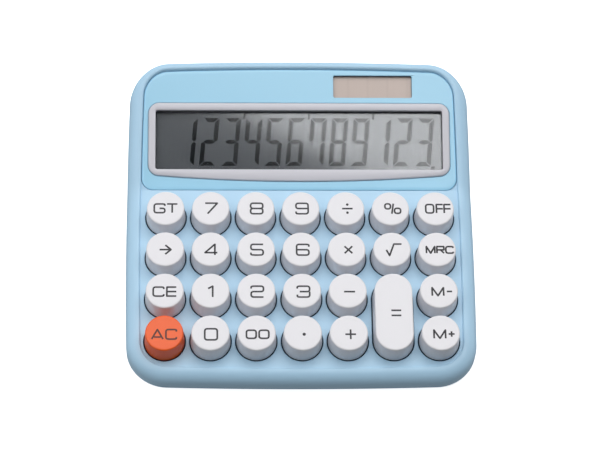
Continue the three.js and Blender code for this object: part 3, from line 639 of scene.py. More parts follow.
def display_finish(name, rgb):
    """Display glass: a grey ground with faint vertical electrodes under a gloss film."""
    material, tree, shader = new_material(name)
    surface = moulded_surface(tree, rgb, Mottle=0.08, Mottle_scale=55, Roughness=0.09, Gloss_spread=0.02)
    veil = maths(tree, "MULTIPLY", stripes(tree, 160, 0.4), 0.008)
    tinted = blend_colours(tree, "MIX", veil, surface["Colour"], (0.7, 0.72, 0.74, 1))
    tree.links.new(tinted, shader.inputs["Base Color"])
    tree.links.new(surface["Roughness"], shader.inputs["Roughness"])
    set_shader(shader, IOR=1.8, Specular_IOR_Level=0.95)
    return material


def window_finish(name, rgb):
    """Clear window: thin polished glass with a trace of uneven gloss."""
    material, tree, shader = new_material(name)
    surface = moulded_surface(tree, rgb, Mottle=0.01, Roughness=0.06, Gloss_spread=0.02)
    tree.links.new(surface["Colour"], shader.inputs["Base Color"])
    tree.links.new(surface["Roughness"], shader.inputs["Roughness"])
    set_shader(shader, Transmission_Weight=1.0, IOR=1.2)
    return material


def solar_finish(name, rgb):
    """Solar cell: a pinkish-brown film with fine scribed lines, under glass."""
    material, tree, shader = new_material(name)
    surface = moulded_surface(tree, rgb, Mottle=0.06, Mottle_scale=70, Roughness=0.3)
    scribed = maths(tree, "MULTIPLY", maths(tree, "POWER", stripes(tree, 35), 24.0), 0.07)
    tinted = blend_colours(tree, "MIX", scribed, surface["Colour"], (0.2, 0.13, 0.1, 1))
    tree.links.new(tinted, shader.inputs["Base Color"])
    tree.links.new(surface["Roughness"], shader.inputs["Roughness"])
    set_shader(shader, Coat_Weight=0.5, Coat_Roughness=0.12)
    return material


def striped_finish(name, rgb, line_rgb, scale, roughness):
    """A ground with raised lines along y, as on a flat cable or a board's tracks."""
    material, tree, shader = new_material(name)
    surface = moulded_surface(tree, rgb, Mottle=0.1, Mottle_scale=60, Roughness=roughness)
    cover = maths(tree, "GREATER_THAN", stripes(tree, scale), 0.55)
    lined = blend_colours(tree, "MIX", cover, surface["Colour"], (*line_rgb, 1))
    tree.links.new(lined, shader.inputs["Base Color"])
    tree.links.new(surface["Roughness"], shader.inputs["Roughness"])
    add_bump(tree, shader, cover, 0.02)
    return material


# Finishes whose colour is a setting of the same name: maker, label, then what the maker takes.
PRINTED = {"roughness": 0.5, "mottle": 0.12, "grain": 6000, "dust": 0.0}
SET_FINISHES = {
    "plastic": (moulded_finish, "Sky plastic", {"roughness": 0.4, "mottle": 0.02}),
    "panel": (moulded_finish, "Satin sky plastic", {"roughness": 0.21, "mottle": 0.015, "relief": 0.002}),
    # painted shade: a dark finish for walls in gaps and recesses, standing in for the shade that falls there
    "shade": (moulded_finish, "Shaded plastic", {"roughness": 0.7, "mottle": 0.1, "dust": 0.0}),
    "key": (moulded_finish, "White key plastic", {"roughness": 0.42, "mottle": 0.015}),
    "clear_key": (moulded_finish, "Orange key plastic", {"roughness": 0.4, "dust": 0.01}),
    "ink": (moulded_finish, "Legend ink", PRINTED),
    "clear_ink": (moulded_finish, "Clear legend ink", PRINTED),
    "silver": (
        moulded_finish,
        "Silver paint",
        {"roughness": 0.42, "grain": 7000, "relief": 0.006, "dust": 0.0, "Metallic": 0.1},
    ),
    "segment": (
        moulded_finish,
        "Display segments",
        {"roughness": 0.1, "mottle": 0.2, "relief": 0.0, "dust": 0.0, "IOR": 1.8, "Specular_IOR_Level": 0.55},
    ),
    "lcd": (display_finish, "Display glass", {}),
    "tint": (window_finish, "Clear window", {}),
    "solar": (solar_finish, "Solar cell", {}),
}

# Finishes of a fixed colour: maker, label, colour, then what the maker takes.
FIXED_FINISHES = {
    "steel": (
        moulded_finish,
        "Plated steel",
        (0.55, 0.56, 0.58),
        {"roughness": 0.28, "mottle": 0.15, "scale": 180, "relief": 0.01, "dust": 0.0, "Metallic": 1.0},
    ),
    "rubber": (
        moulded_finish,
        "Foot rubber",
        (0.045, 0.05, 0.058),
        {"roughness": 0.8, "mottle": 0.15, "grain": 1800, "relief": 0.05},
    ),
    "red_lead": (moulded_finish, "Red insulation", (0.45, 0.03, 0.03), {"roughness": 0.5, "mottle": 0.08}),
    "black_lead": (
        moulded_finish,
        "Black insulation",
        (0.012, 0.012, 0.014),
        {"roughness": 0.5, "mottle": 0.2},
    ),
    "silicone": (
        moulded_finish,
        "Silicone",
        (0.35, 0.37, 0.39),
        {"roughness": 0.75, "mottle": 0.05, "relief": 0.03},
    ),
    "epoxy": (
        moulded_finish,
        "Black epoxy",
        (0.01, 0.01, 0.012),
        {"roughness": 0.35, "mottle": 0.3, "grain": 900, "relief": 0.05},
    ),
    "inner_plastic": (moulded_finish, "Inner plastic", (0.7, 0.72, 0.74), {"roughness": 0.6, "mottle": 0.04}),
    "board": (
        striped_finish,
        "Circuit board",
        (0.06, 0.22, 0.09),
        {"line_rgb": (0.05, 0.3, 0.12), "scale": 90, "roughness": 0.55},
    ),
    "flat_cable": (
        striped_finish,
        "Flat cable",
        (0.6, 0.3, 0.08),
        {"line_rgb": (0.75, 0.45, 0.2), "scale": 220, "roughness": 0.45},
    ),
}


@functools.cache
def finish_material(name):
    """The material of one of the finishes, made once."""
    if name in FIXED_FINISHES:
        maker, label, rgb, values = FIXED_FINISHES[name]
    else:
        maker, label, values = SET_FINISHES[name]
        rgb = getattr(bpy.context.scene.calculator_colours, name)
    return maker(label, rgb, **values)


# ---- Case ------------------------------------------------------------------------------------------

LENS_BORDER = 1.7  # from the window's opening to its edge
SOLAR_BORDER = 1.5
FOOT_CORNER = 5.5  # of the display panel
SOFT_EDGE = 0.25
BORE_DEPTH = 1.5  # plastic that a case screw's head clamps
BAY_WALL = 1.5
BAY_ROOF = 1.2  # clearance above the cell
AROUND_CELL = np.array([2.6, 1.1])  # room for the contacts


def centre(low, high):
    """Middle of a box."""
    return (low + high) / 2


def key_places():
    """(node, x, s, half stretch) of every key on the deck. A long key is stretched along s."""
    places = []
    round_width = np.ptp(DECK.box("key_5"), axis=0)[1]
    for node in KEY_NODES:
        low, high = DECK.box(node)
        x, s, _ = centre(low, high)
        places.append((node, x, s, (high[1] - low[1] - round_width) / 2))
    return places


def stadium(x, s, radius, stretch, points=48):
    """Counter-clockwise circle drawn apart along s by stretch each way. Its points miss the X axis."""
    angle = (np.arange(points) + 0.5) * 2 * math.pi / points
    ends = stretch * np.sign(np.sin(angle))
    return np.stack([x + radius * np.cos(angle), s + radius * np.sin(angle) + ends], 1)


def lcd_opening():
    """Outline of the opening under the display window."""
    low, high = DISPLAY.box("lcd_module")
    return rounded_rectangle(low[:2] - GAP, high[:2] + GAP, 1.0)


def solar_pocket():
    """Outline of the pocket that holds the solar cell."""
    low, high = DISPLAY.box("solar_cell")
    return rounded_rectangle(low[:2] - GAP, high[:2] + GAP, 0.5, straight_points=2, corner_points=4)


def on_surface(loop, lift):
    """Plan points at a height above or below the deck and the display."""
    return np.column_stack([loop, surface_z(loop[:, 1]) + lift])


def deck_part(loop):
    """The stretch of a case outline from the left end of the fold round the front to its right end."""
    return np.concatenate([loop[LEFT_FOLD:], loop[: RIGHT_FOLD + 1]])


def display_part(loop):
    """The stretch of a case outline from the right end of the fold round the rear to its left end."""
    return loop[RIGHT_FOLD : LEFT_FOLD + 1]


def upper_case(scene):
    """Upper case: a rim swept round the outline, a deck with a hole for every key, a seat for the panel.

    The rim's section is a quarter round from the outer wall to the crest, a flat land and an inner round.
    """
    case, keys, skin = scene.calculator_case, scene.calculator_keys, Skin()
    lip, fillet = case.rim_lip / MM, case.rim_fillet / MM
    land, edge = case.rim_land / MM, case.rim_edge / MM
    outer, inner = outer_outline(case), inner_outline(case)
    crest = inner_outline(case, -land)

    foot = outer_outline(case, SOFT_EDGE)
    rows = [level(PARTING)(foot), level(PARTING + SOFT_EDGE)(outer)]
    for angle in np.linspace(0, math.pi / 2, 15):
        loop = outer + (crest - outer) * (1 - math.cos(angle))
        rows.append(on_surface(loop, lip - fillet * (1 - math.sin(angle))))
    rows.append(on_surface(inner_outline(case, -edge - FLAT), lip))
    for inset, drop in reversed(quarter_round(edge)):
        rows.append(on_surface(inner_outline(case, -inset), lip - drop))
    rows.append(on_surface(inner, 0))
    skin.grid(rows)

    # Seat of the display panel, with a wall around it
    seat = np.column_stack([inner, display_z(inner[:, 1]) - PANEL_SEAT / DISPLAY.cos])
    skin.grid([display_part(on_surface(inner, 0)), display_part(seat)], around=False)
    ends = [RIGHT_FOLD, LEFT_FOLD]
    skin.grid([on_surface(inner, 0)[ends], seat[ends]], around=False)
    seat_n, ceiling_n, solar_n = DISPLAY_N - PANEL_SEAT, DISPLAY_N - DISPLAY_WALL, DISPLAY_N - SOLAR_SEAT
    pocket, opening = solar_pocket(), lcd_opening()
    skin.flat(DISPLAY.at(seat_n), DISPLAY.plan(display_part(seat)), opening, pocket)
    skin.wall(DISPLAY.at, pocket, seat_n, solar_n)
    skin.flat(DISPLAY.at(solar_n), pocket)
    skin.wall(DISPLAY.at, opening, seat_n, ceiling_n)

    # Deck and its holes
    hole_radius = keys.base_radius / MM + keys.hole_gap / MM
    holes = [(x, s, stretch) for _, x, s, stretch in key_places()]
    border = DECK.plan(np.column_stack([deck_part(inner), deck_z(deck_part(inner)[:, 1])]))
    rounding = SOFT_EDGE + FLAT
    wide = [stadium(x, s, hole_radius + rounding, stretch) for x, s, stretch in holes]
    straight = [stadium(x, s, hole_radius, stretch) for x, s, stretch in holes]
    skin.flat(DECK.at(DECK_N), border, *wide)
    profile = [(hole_radius + rounding, DECK_N)]
    profile += [(hole_radius + i, DECK_N - d) for i, d in reversed(quarter_round(SOFT_EDGE))]
    profile += [(hole_radius, DECK_N - DECK_WALL)]
    for x, s, stretch in holes:
        rows = [DECK.at(n)(stadium(x, s, radius, stretch)) for radius, n in profile]
        skin.grid(rows[:-1])
        # the hole wall below the rounding takes finish 1, painted shade: a dark colour standing in for the
        # shade down the gap around each cap
        skin.grid(rows[-2:], finish=1)

    # Inside: the ceiling, a step at the fold, and the wall down to the parting
    inside = outer_outline(case, WALL)
    deck_ceiling = np.column_stack([inside, deck_z(inside[:, 1]) - DECK_WALL / DECK.cos])
    display_ceiling = np.column_stack([inside, display_z(inside[:, 1]) - DISPLAY_WALL / DISPLAY.cos])
    skin.flat(DECK.at(DECK_N - DECK_WALL), DECK.plan(deck_part(deck_ceiling)), *straight)
    skin.flat(DISPLAY.at(ceiling_n), DISPLAY.plan(display_part(display_ceiling)), opening)
    skin.grid([deck_ceiling[ends], display_ceiling[ends]], around=False)
    low = level(PARTING)(inside)
    fold_drop = deck_ceiling[RIGHT_FOLD, 2] - display_ceiling[RIGHT_FOLD, 2]
    shelf = deck_ceiling - [0, 0, fold_drop]
    skin.grid([deck_part(low), deck_part(shelf), deck_part(deck_ceiling)], around=False)
    skin.grid([display_part(low), display_part(display_ceiling)], around=False)
    skin.grid([low, level(PARTING)(foot)])
    skin.finish("case_upper", ["plastic", "shade"], "sky_plastic", "top_case")


def panel_foot_fillers(scene):
    """Wedges of the case that fill the corners outside the panel's rounded foot.

    Each outline is a quarter circle and the two straight sides of the corner outside it.
    """
    skin = Skin()
    inner = inner_outline(scene.calculator_case)
    half = inner[RIGHT_FOLD, 0]
    quarter = np.linspace(0, math.pi / 2, 13)
    radius = FOOT_CORNER
    for side in (-1, 1):
        x = side * (half - radius + radius * np.sin(quarter))
        s = FOLD_S + radius - radius * np.cos(quarter)
        curve = np.stack([x, s], 1)
        corner = np.array([[side * (half + GAP), FOLD_S + radius], [side * (half + GAP), FOLD_S - GAP]])
        tail = np.array([[side * (half - radius), FOLD_S - GAP]])
        outline = np.concatenate([curve, corner, tail])
        outline = outline if side < 0 else outline[::-1]
        high, low = DISPLAY_N, DISPLAY_N - PANEL_SEAT - GAP
        skin.wall(DISPLAY.at, outline, low, high)
        skin.flat(DISPLAY.at(low), outline)
        skin.flat(DISPLAY.at(high), outline)
    skin.finish("case_foot_corners", ["plastic"], "sky_plastic")


def lower_case(scene):
    """Lower case: a tray with a rounded foot, pockets for the screws and feet, and the battery bay.

    The outer wall is the case outline moved inwards by a quarter round towards the bottom face.
    """
    case, skin = scene.calculator_case, Skin()
    fillet, top = case.base_fillet / MM, PARTING - GAP
    rows = [level(top)(outer_outline(case, WALL)), level(top)(outer_outline(case, SOFT_EDGE))]
    rows.append(level(top - SOFT_EDGE)(outer_outline(case)))
    for angle in np.linspace(0, math.pi / 2, 10):
        inset = fillet * (1 - math.cos(angle))
        rows.append(level(BASE_LOW + fillet * (1 - math.sin(angle)))(outer_outline(case, inset)))
    rows.append(level(BASE_LOW)(outer_outline(case, fillet + FLAT)))
    skin.grid(rows)
    hollow = outer_outline(case, WALL)
    skin.wall(level, hollow, top, FLOOR_TOP)

    under, inside = [], []

    def pocket(x, y, profile):
        """A turned pocket that opens in the bottom face and may reach up through the floor.

        Its profile is a list of (radius, height), from the bottom face up.
        """
        turned(skin, x, y, profile)
        under.append(circle(x, y, profile[0][0]))
        if profile[-1][1] == FLOOR_TOP:
            inside.append(circle(x, y, profile[-1][0]))

    for node in screw_nodes("case_screw"):
        low, high = world_box(node)
        x, y, _ = centre(low, high)
        head, bore = (high[0] - low[0]) / 2 + GAP, SCREW_SHANK + GAP
        seat, well = low[2] + SCREW_HEAD + GAP, head + 1
        profile = [(head, BASE_LOW), (head, seat), (bore, seat)]
        profile += [(bore, seat + BORE_DEPTH), (well, seat + BORE_DEPTH), (well, FLOOR_TOP)]
        pocket(x, y, profile)
    for node in foot_nodes():
        low, high = world_box(node)
        x, y, _ = centre(low, high)
        radius = (high[0] - low[0]) / 2 + GAP
        pocket(x, y, [(radius, BASE_LOW), (radius, high[2] + GAP), (0, high[2] + GAP)])

    # Battery bay: the door's recess, a chamber above it and the block around both
    low, high = world_box("battery_door")
    recess = rounded_rectangle(low[:2] - GAP, high[:2] + GAP, 1.0, straight_points=2)
    cell_low, cell_high = world_box("button_cell")
    chamber_low, chamber_high = cell_low[:2] - AROUND_CELL, cell_high[:2] + AROUND_CELL
    chamber = rounded_rectangle(chamber_low, chamber_high, 0.5, straight_points=2)
    block_reach = GAP + BAY_WALL
    block = rounded_rectangle(low[:2] - block_reach, high[:2] + block_reach, BAY_WALL, straight_points=2)
    ledge, roof = high[2] + GAP, cell_high[2] + BAY_ROOF
    screw_low, screw_high = world_box("battery_door_screw")
    screw_x, screw_y, _ = centre(screw_low, screw_high)
    bore = circle(screw_x, screw_y, DOOR_SCREW_SHANK + GAP)
    skin.wall(level, recess, BASE_LOW, ledge)
    skin.flat(level(ledge), recess, chamber, bore)
    for loop, start, end in (
        (chamber, ledge, roof),
        (bore, ledge, screw_high[2] + GAP),
        (block, FLOOR_TOP, roof + BAY_WALL),
    ):
        skin.wall(level, loop, start, end)
        skin.flat(level(end), loop)
    skin.flat(level(BASE_LOW), outer_outline(case, fillet + FLAT), recess, *under)
    skin.flat(level(FLOOR_TOP), hollow, block, *inside)
    skin.finish("case_lower", ["plastic"], "sky_plastic", "bottom_case")


# ---- Display ---------------------------------------------------------------------------------------

SEAM = 0.15  # seen between the panel, its frame and the case
BAND = 1.7  # sloping band around the panel
BAND_DROP = 0.25
PANEL_EDGE = 0.4
PANEL_FOOT = 0.1  # chamfer of the panel's lower edge
FRAME_CORNER = 5.0
FRAME_BELLY = 2.5  # how much deeper the frame's foot is in the middle
FRAME_EDGE = 0.75
FRAME_CROWN = 0.12
FILM = 0.15  # polarising film on the display glass


def panel_outline(scene):
    """Outline of the display panel on its slope: the rim's inner outline, with rounded foot corners."""
    inner = display_part(inner_outline(scene.calculator_case, SEAM))
    x, s = DISPLAY.plan(np.column_stack([inner, display_z(inner[:, 1])])).T
    low, radius = FOLD_S + SEAM, FOOT_CORNER
    kept = s > low + radius
    half = np.interp(low + radius, s[: len(s) // 2], x[: len(s) // 2])
    quarter = np.linspace(0, math.pi / 2, 13)
    right = np.stack([half - radius + radius * np.sin(quarter), low + radius * (1 - np.cos(quarter))], 1)
    left = right[::-1] * [-1, 1]
    foot_x = np.linspace(-half + radius, half - radius, 40)[1:-1]
    foot = np.stack([foot_x, np.full_like(foot_x, low)], 1)
    return np.concatenate([foot, right, np.stack([x, s], 1)[kept], left])


def bezel_outline(grow=0.0):
    """Outline of the display frame. Its foot hangs in a shallow curve."""
    low, high = DISPLAY.box("display_bezel")
    ends_low = low[:2] + [0, FRAME_BELLY]
    return rounded_rectangle(ends_low - grow, high[:2] + grow, FRAME_CORNER + grow, belly=FRAME_BELLY)


def neck_outline(grow=0.0):
    """Outline of the frame's neck, which goes through the panel and is as large as the window's glass."""
    low, high = DISPLAY.box("display_window")
    return rounded_rectangle(low[:2] - grow, high[:2] + grow, 1.0 + LENS_BORDER + grow)


def panel_opening(skin, outline):
    """Soft upper edge of an opening in the panel. Returns the outline where it meets the panel's face."""
    rows = [(-SOFT_EDGE - FLAT, DISPLAY_N)]
    rows += [(-inset, DISPLAY_N - drop) for inset, drop in reversed(quarter_round(SOFT_EDGE, 3))]
    skin.rings(DISPLAY.at, outline, rows)
    return inwards(outline, -SOFT_EDGE - FLAT)


def display_panel(scene):
    """Display panel: a flat plate whose outer band falls away by a parabola and ends in a quarter round."""
    skin, outline = Skin(), panel_outline(scene)
    bottom = DISPLAY_N - PANEL

    def face(inset):
        """Height of the sloping band: a parabola that meets the flat face."""
        return DISPLAY_N - BAND_DROP * (1 - inset / BAND) ** 2

    rows = [(FLAT + PANEL_FOOT, bottom), (0.0, bottom + PANEL_FOOT)]
    rows += [(inset, face(inset) - drop) for inset, drop in quarter_round(PANEL_EDGE)]
    rows += [(inset, face(inset)) for inset in np.linspace(PANEL_EDGE, BAND, 6)[1:]]
    rows.append((BAND + FLAT, DISPLAY_N))
    skin.rings(DISPLAY.at, outline, rows)

    # Seat for the frame, then the hole for its neck
    seat, neck = bezel_outline(SEAM), neck_outline(GAP)
    seat_n = DISPLAY_N - FRAME_SEAT
    seat_wide = panel_opening(skin, seat)
    steps = ((seat, DISPLAY_N - SOFT_EDGE), (seat, seat_n), (neck, seat_n), (neck, bottom))
    skin.grid([DISPLAY.at(n)(loop) for loop, n in steps])

    # Opening over the solar cell
    low, high = DISPLAY.box("solar_cell")
    window = rounded_rectangle(low[:2] + SOLAR_BORDER, high[:2] - SOLAR_BORDER, 0.8, straight_points=4)
    window_wide = panel_opening(skin, window)
    # the opening's wall takes finish 1, painted shade: a dark colour standing in for the shade inside the
    # recess over the cell
    skin.wall(DISPLAY.at, window, DISPLAY_N - SOFT_EDGE, bottom, finish=1)
    skin.flat(DISPLAY.at(DISPLAY_N), inwards(outline, BAND + FLAT), seat_wide, window_wide)
    skin.flat(DISPLAY.at(bottom), inwards(outline, FLAT + PANEL_FOOT), neck, window)
    skin.finish("panel", ["panel", "shade"], "sky_plastic", "display_panel")


def display_frame():
    """Display frame: rings blended from its outer outline to the window's, crowned between two rounds.

    The crown is a parabola over the way across the frame.
    """
    skin = Skin()
    outer, neck = bezel_outline(), neck_outline()
    window = inwards(neck, LENS_BORDER)
    under, top, neck_end = DISPLAY_N - FRAME_SEAT + GAP, DISPLAY_N + FRAME_RISE, DISPLAY_N - PANEL + GAP
    rings = [(outer, under)]
    rings += [(inwards(outer, inset), top - drop) for inset, drop in quarter_round(FRAME_EDGE, 7)]
    first, last = inwards(outer, FRAME_EDGE), inwards(window, -SOFT_EDGE)
    for way in np.linspace(0, 1, 9)[1:]:
        rings.append((first + (last - first) * way, top + FRAME_CROWN * 4 * way * (1 - way)))
    for inset, drop in quarter_round(SOFT_EDGE, 4)[-2::-1]:
        rings.append((inwards(window, -inset), top - drop))
    rings += [(window, neck_end), (neck, neck_end), (neck, under), (outer, under)]
    skin.grid([DISPLAY.at(n)(loop) for loop, n in rings])
    skin.finish("bezel", ["silver"], "silver_frame", "display_bezel")


def display_window():
    """Clear window: a thin plate of glass with softened edges. It casts no shadow."""
    skin = Skin()
    low, high = DISPLAY.box("display_window")
    plate(skin, DISPLAY.at, neck_outline(), low[2], high[2], 0.12)
    glass = skin.finish("window_glass", ["tint"], "clear_window", "display_window")
    glass.visible_shadow = False


# Lit segments of each digit: a at the top, then b to f clockwise, and g in the middle
SEGMENTS = {
    "1": "bc",
    "2": "abdeg",
    "3": "abcdg",
    "4": "bcfg",
    "5": "acdfg",
    "6": "acdefg",
    "7": "abcf",
    "8": "abcdefg",
    "9": "abcdfg",
}
READING = "123'456'789'123."
DIGIT_WIDTH, DIGIT_HEIGHT, DIGIT_PITCH = 7.4, 22.3, 9.77
DIGITS_RIGHT = 59.7  # right end of the last digit's foot
DIGITS_LOW = 11.9  # foot of the digits above the fold
BAR = 2.0  # width of a segment
BREAK = 0.3  # between segments
SLANT = 0.09
SEGMENT_SINK = 0.04  # foot of the segments below the top of the display glass


def segment_outline(name):
    """Outline of one segment of a digit that stands upright on its foot's left end.

    Upright and level bars are cut at 45 degrees at the digit's corners; the middle one is a lens.
    """
    width, half = DIGIT_WIDTH, DIGIT_HEIGHT / 2
    if name == "g":
        across = np.linspace(-1, 1, 13)
        thick = BAR / 2 * (1 - np.abs(across) ** 2.6)
        x = width / 2 + across * (width / 2 - BREAK - BAR * 0.35)
        upper = np.stack([x, half + thick], 1)[::-1]
        lower = np.stack([x, half - thick], 1)[1:-1]
        return np.concatenate([lower, upper])
    if name in "ad":
        end = width - BREAK
        bar = [[BREAK, half], [BREAK + BAR, half - BAR], [end - BAR, half - BAR], [end, half]]
    else:
        inside, tip = width - BAR, half - BREAK
        foot = [[inside, BAR * 0.62], [width - BAR / 2, BREAK / 2], [width, BAR * 0.38]]
        bar = [[width, tip], [inside, tip - BAR], *foot]
    bar = np.array(bar) * [1, -1 if name in "cde" else 1] + [0, half]
    return [width, 0] + bar * [-1, 1] if name in "ef" else bar


def tile(skin, outline, low, high):
    """A small flat tile with a convex outline on the display: top and bottom fans and a wall."""
    middle = np.repeat(outline.mean(0, keepdims=True), len(outline), 0)
    rows = [(middle, low), (outline, low), (outline, high), (middle, high)]
    skin.grid([DISPLAY.at(n)(loop) for loop, n in rows])


def display_glass():
    """Display glass: a plate of glass with a polarising film on it."""
    low, high = DISPLAY.box("lcd_module")
    skin, outline = Skin(), rounded_rectangle(low[:2], high[:2], 0.6)
    film_low, film_high = high[2] - FILM, high[2] - SEGMENT_SINK
    plate(skin, DISPLAY.at, outline, low[2], film_low, 0.15)
    plate(skin, DISPLAY.at, inwards(outline, 1.0), film_low, film_high, 0.04)
    skin.finish("lcd_plate", ["lcd"], "lcd_glass", "lcd_module")


def display_reading():
    """Reading: the lit segments, marks and point of a slanted row of digits, as thin tiles on the film."""
    high = DISPLAY.box("lcd_module")[1]
    skin = Skin()
    base, face = high[2] - SEGMENT_SINK, high[2] - 0.01
    foot = FOLD_S + DIGITS_LOW
    digits = [mark for mark in READING if mark in SEGMENTS]
    x = DIGITS_RIGHT - DIGIT_WIDTH - (len(digits) - 1) * DIGIT_PITCH

    def lean(outline):
        """Slants an outline and moves it to the current digit."""
        return np.stack([x + outline[:, 0] + SLANT * outline[:, 1], foot + outline[:, 1]], 1)

    for mark in READING:
        if mark in SEGMENTS:
            for name in SEGMENTS[mark]:
                tile(skin, lean(segment_outline(name)), base, face)
            x += DIGIT_PITCH
        elif mark == "'":
            tick = rounded_rectangle((-1.5, DIGIT_HEIGHT - 0.6), (-0.5, DIGIT_HEIGHT + 2), 0.1, 0, 2, 1)
            tile(skin, lean(tick), base, face)
        else:
            point = rounded_rectangle((-2.1, -1.8), (-0.4, -0.1), 0.2, 0, 3, 1)
            tile(skin, lean(point), base, face)
    skin.finish("lcd_reading", ["segment"], "lcd_glass")


def solar_cell():
    """Solar cell: a glass plate with strips of film on it that are parted by fine grooves."""
    low, high = DISPLAY.box("solar_cell")
    skin = Skin()
    outline = rounded_rectangle(low[:2], high[:2], 0.3, straight_points=2, corner_points=3)
    strips, groove, border, film_low = 4, 0.12, 0.6, high[2] - 0.06
    plate(skin, DISPLAY.at, outline, low[2], film_low, 0.1)
    edges = np.linspace(low[0] + border, high[0] - border, strips + 1)
    for left, right in zip(edges[:-1], edges[1:]):
        corners = (left + groove / 2, low[1] + border), (right - groove / 2, high[1] - border)
        strip = rounded_rectangle(*corners, 0.1, straight_points=1, corner_points=2)
        plate(skin, DISPLAY.at, strip, film_low, high[2], 0.02)
    skin.finish("solar_plate", ["solar"], "solar_glass", "solar_cell")


# ---- Keys and legends ------------------------------------------------------------------------------

# Named places in a letter's box: column then row. Columns run from left to right, rows from foot to top.
COLUMNS = {"l": 0.0, "a": 0.2, "c": 0.5, "d": 0.8, "r": 1.0}
ROWS = {"b": 0.0, "k": 0.22, "m": 0.5, "u": 0.78, "t": 1.0}

# Strokes of each sign through named places. A star closes a stroke.
SIGNS = {
    "0": ["lb rb rt lt*"],
    "1": ["lu rt rb"],
    "2": ["lu lt rt rm lm lb rb"],
    "3": ["lu lt rt rm am", "rm rb lb lk"],
    "4": ["db dt lk rk"],
    "5": ["rt lt lm rm rb lb lk"],
    "6": ["ru rt lt lb rb rm lm"],
    "7": ["lt rt ab"],
    "8": ["lm rm rb lb*", "lm rm rt lt*"],
    "9": ["lk lb rb rt lt lm rm"],
    "A": ["lb ct rb", "ak dk"],
    "C": ["ru rt lt lb rb rk"],
    "E": ["rt lt lb rb", "lm rm"],
    "F": ["rt lt lb", "lm rm"],
    "G": ["ru rt lt lb rb rm cm"],
    "M": ["lb lt cb rt rb"],
    "R": ["lb lt rt rm lm", "cm rb"],
    "T": ["lt rt", "ct cb"],
    "-": ["lm rm"],
    "+": ["lm rm", "ct cb"],
    "x": ["lb rt", "lt rb"],
    "/": ["lb rt"],
    ">": ["lm rm", "ct rm cb"],
    "v": ["lm ab ct rt"],
}
SHARP_SIGNS = "147AMT-+x/>vEFR"
CORNER_ROUND, SHARP_ROUND = 1.15, 0.12
FIGURE = (5.4, 5.2)  # width and height of the digits, between stroke middles

# What each key says: (sign, x, y of its middle, width, height), in millimetres from the cap's middle.
LEGENDS = {str(figure): [(str(figure), 0, 0, *FIGURE)] for figure in range(2, 10)}
LEGENDS.update(
    {
        "0": [("0", 0, 0, *FIGURE)],
        "1": [("1", -0.3, 0, 2.0, 5.2)],
        "double_zero": [("0", -2.75, 0, 4.2, 3.8), ("0", 2.75, 0, 4.2, 3.8)],
        "point": [("0", 0, 0, 0.62, 0.62)],
        "gt": [("G", -2.75, 0, 4.7, 4.3), ("T", 2.85, 0, 4.6, 4.3)],
        "arrow": [(">", 0, 0, 5.0, 4.4)],
        "ce": [("C", -2.75, 0, 4.6, 4.3), ("E", 2.95, 0, 4.1, 4.3)],
        "ac": [("A", -3.0, 0, 4.9, 4.5), ("C", 2.95, 0, 4.5, 4.5)],
        "divide": [("-", 0, 0, 4.7, 0.2), ("0", 0, 2.0, 0.36, 0.36), ("0", 0, -2.0, 0.36, 0.36)],
        "multiply": [("x", 0, 0, 3.4, 3.4)],
        "subtract": [("-", 0, 0, 4.8, 0.2)],
        "add": [("+", 0, 0, 4.6, 4.6)],
        "percent": [("0", -2.15, 1.15, 2.5, 2.5), ("/", 0, 0, 0.8, 5.0), ("0", 2.2, -1.05, 2.7, 2.5)],
        "root": [("v", 0, 0, 6.8, 5.6)],
        "off": [("0", -3.6, 0, 3.5, 4.2), ("F", 0.85, 0, 2.9, 4.2), ("F", 4.3, 0, 2.9, 4.2)],
        "mrc": [("M", -4.0, 0, 3.7, 3.2), ("R", 0.35, 0, 3.1, 3.2), ("C", 4.35, 0, 3.2, 3.2)],
        "m_minus": [("M", -1.6, 0, 5.0, 3.9), ("-", 3.5, 0.1, 2.3, 0.2)],
        "m_plus": [("M", -1.6, 0, 5.0, 3.9), ("+", 3.55, 0.1, 2.6, 2.6)],
        "equals": [("-", 0, 1.2, 4.3, 0.2), ("-", 0, -1.2, 4.3, 0.2)],
    }
)
INK_RISE = 0.03
PRINT_SINK = 0.011  # share of the way down from the rear row
KEY_ROWS_REAR = DECK.box("key_8")[1][1]
PRINT_SPREAD = 0.008  # share of the way right from the left column
KEY_COLUMNS_LEFT = DECK.box("key_arrow")[0][0]
INK_LAYER = 0.002  # keeps crossing strokes from sharing a face
POST_RADIUS = 2.2  # plunger over the dome
FLANGE, FLANGE_HEIGHT = 0.9, 0.8  # under the deck, beyond the cap's foot


def rounded_path(points, radius, closed):
    """Replaces each corner of a path by a parabola that starts and ends radius along its two edges."""
    points = np.asarray(points, float)
    before, after = np.roll(points, 1, 0) - points, np.roll(points, -1, 0) - points
    way = np.linspace(0, 1, 6)[None, :, None]

    def reach(edge):
        """The radius along an edge, or nearly half of a short one."""
        size = np.linalg.norm(edge, axis=1, keepdims=True)
        return edge * np.minimum(radius / size, 0.48)

    start, end = (points + reach(before))[:, None], (points + reach(after))[:, None]
    corners = (1 - way) ** 2 * start + 2 * way * (1 - way) * points[:, None] + way**2 * end
    if closed:
        return corners.reshape(-1, 2)
    return np.concatenate([points[:1], corners[1:-1].reshape(-1, 2), points[-1:]])


def ribbon(skin, put, path, width, low, high, closed):
    """A stroke: a flat bar's section carried along a path, its sides kept parallel round the corners."""
    if closed:
        edges = np.roll(path, -1, 0) - path
    else:
        edges = np.diff(path, axis=0)
        edges = np.concatenate([edges, edges[-1:]])
    side = width / 2 * bisectors(edges, closed)
    section = [(path + side, low), (path - side, low), (path - side, high), (path + side, high)]
    rows = np.stack([put(n)(line) for line, n in section], 1)
    if closed:
        rows = np.concatenate([rows, rows[:1]])
    skin.grid(rows, finish=1)
    if not closed:
        skin.add(rows[[0, -1]], np.array([[0, 1, 2, 3], [4, 5, 6, 7]]), 1)


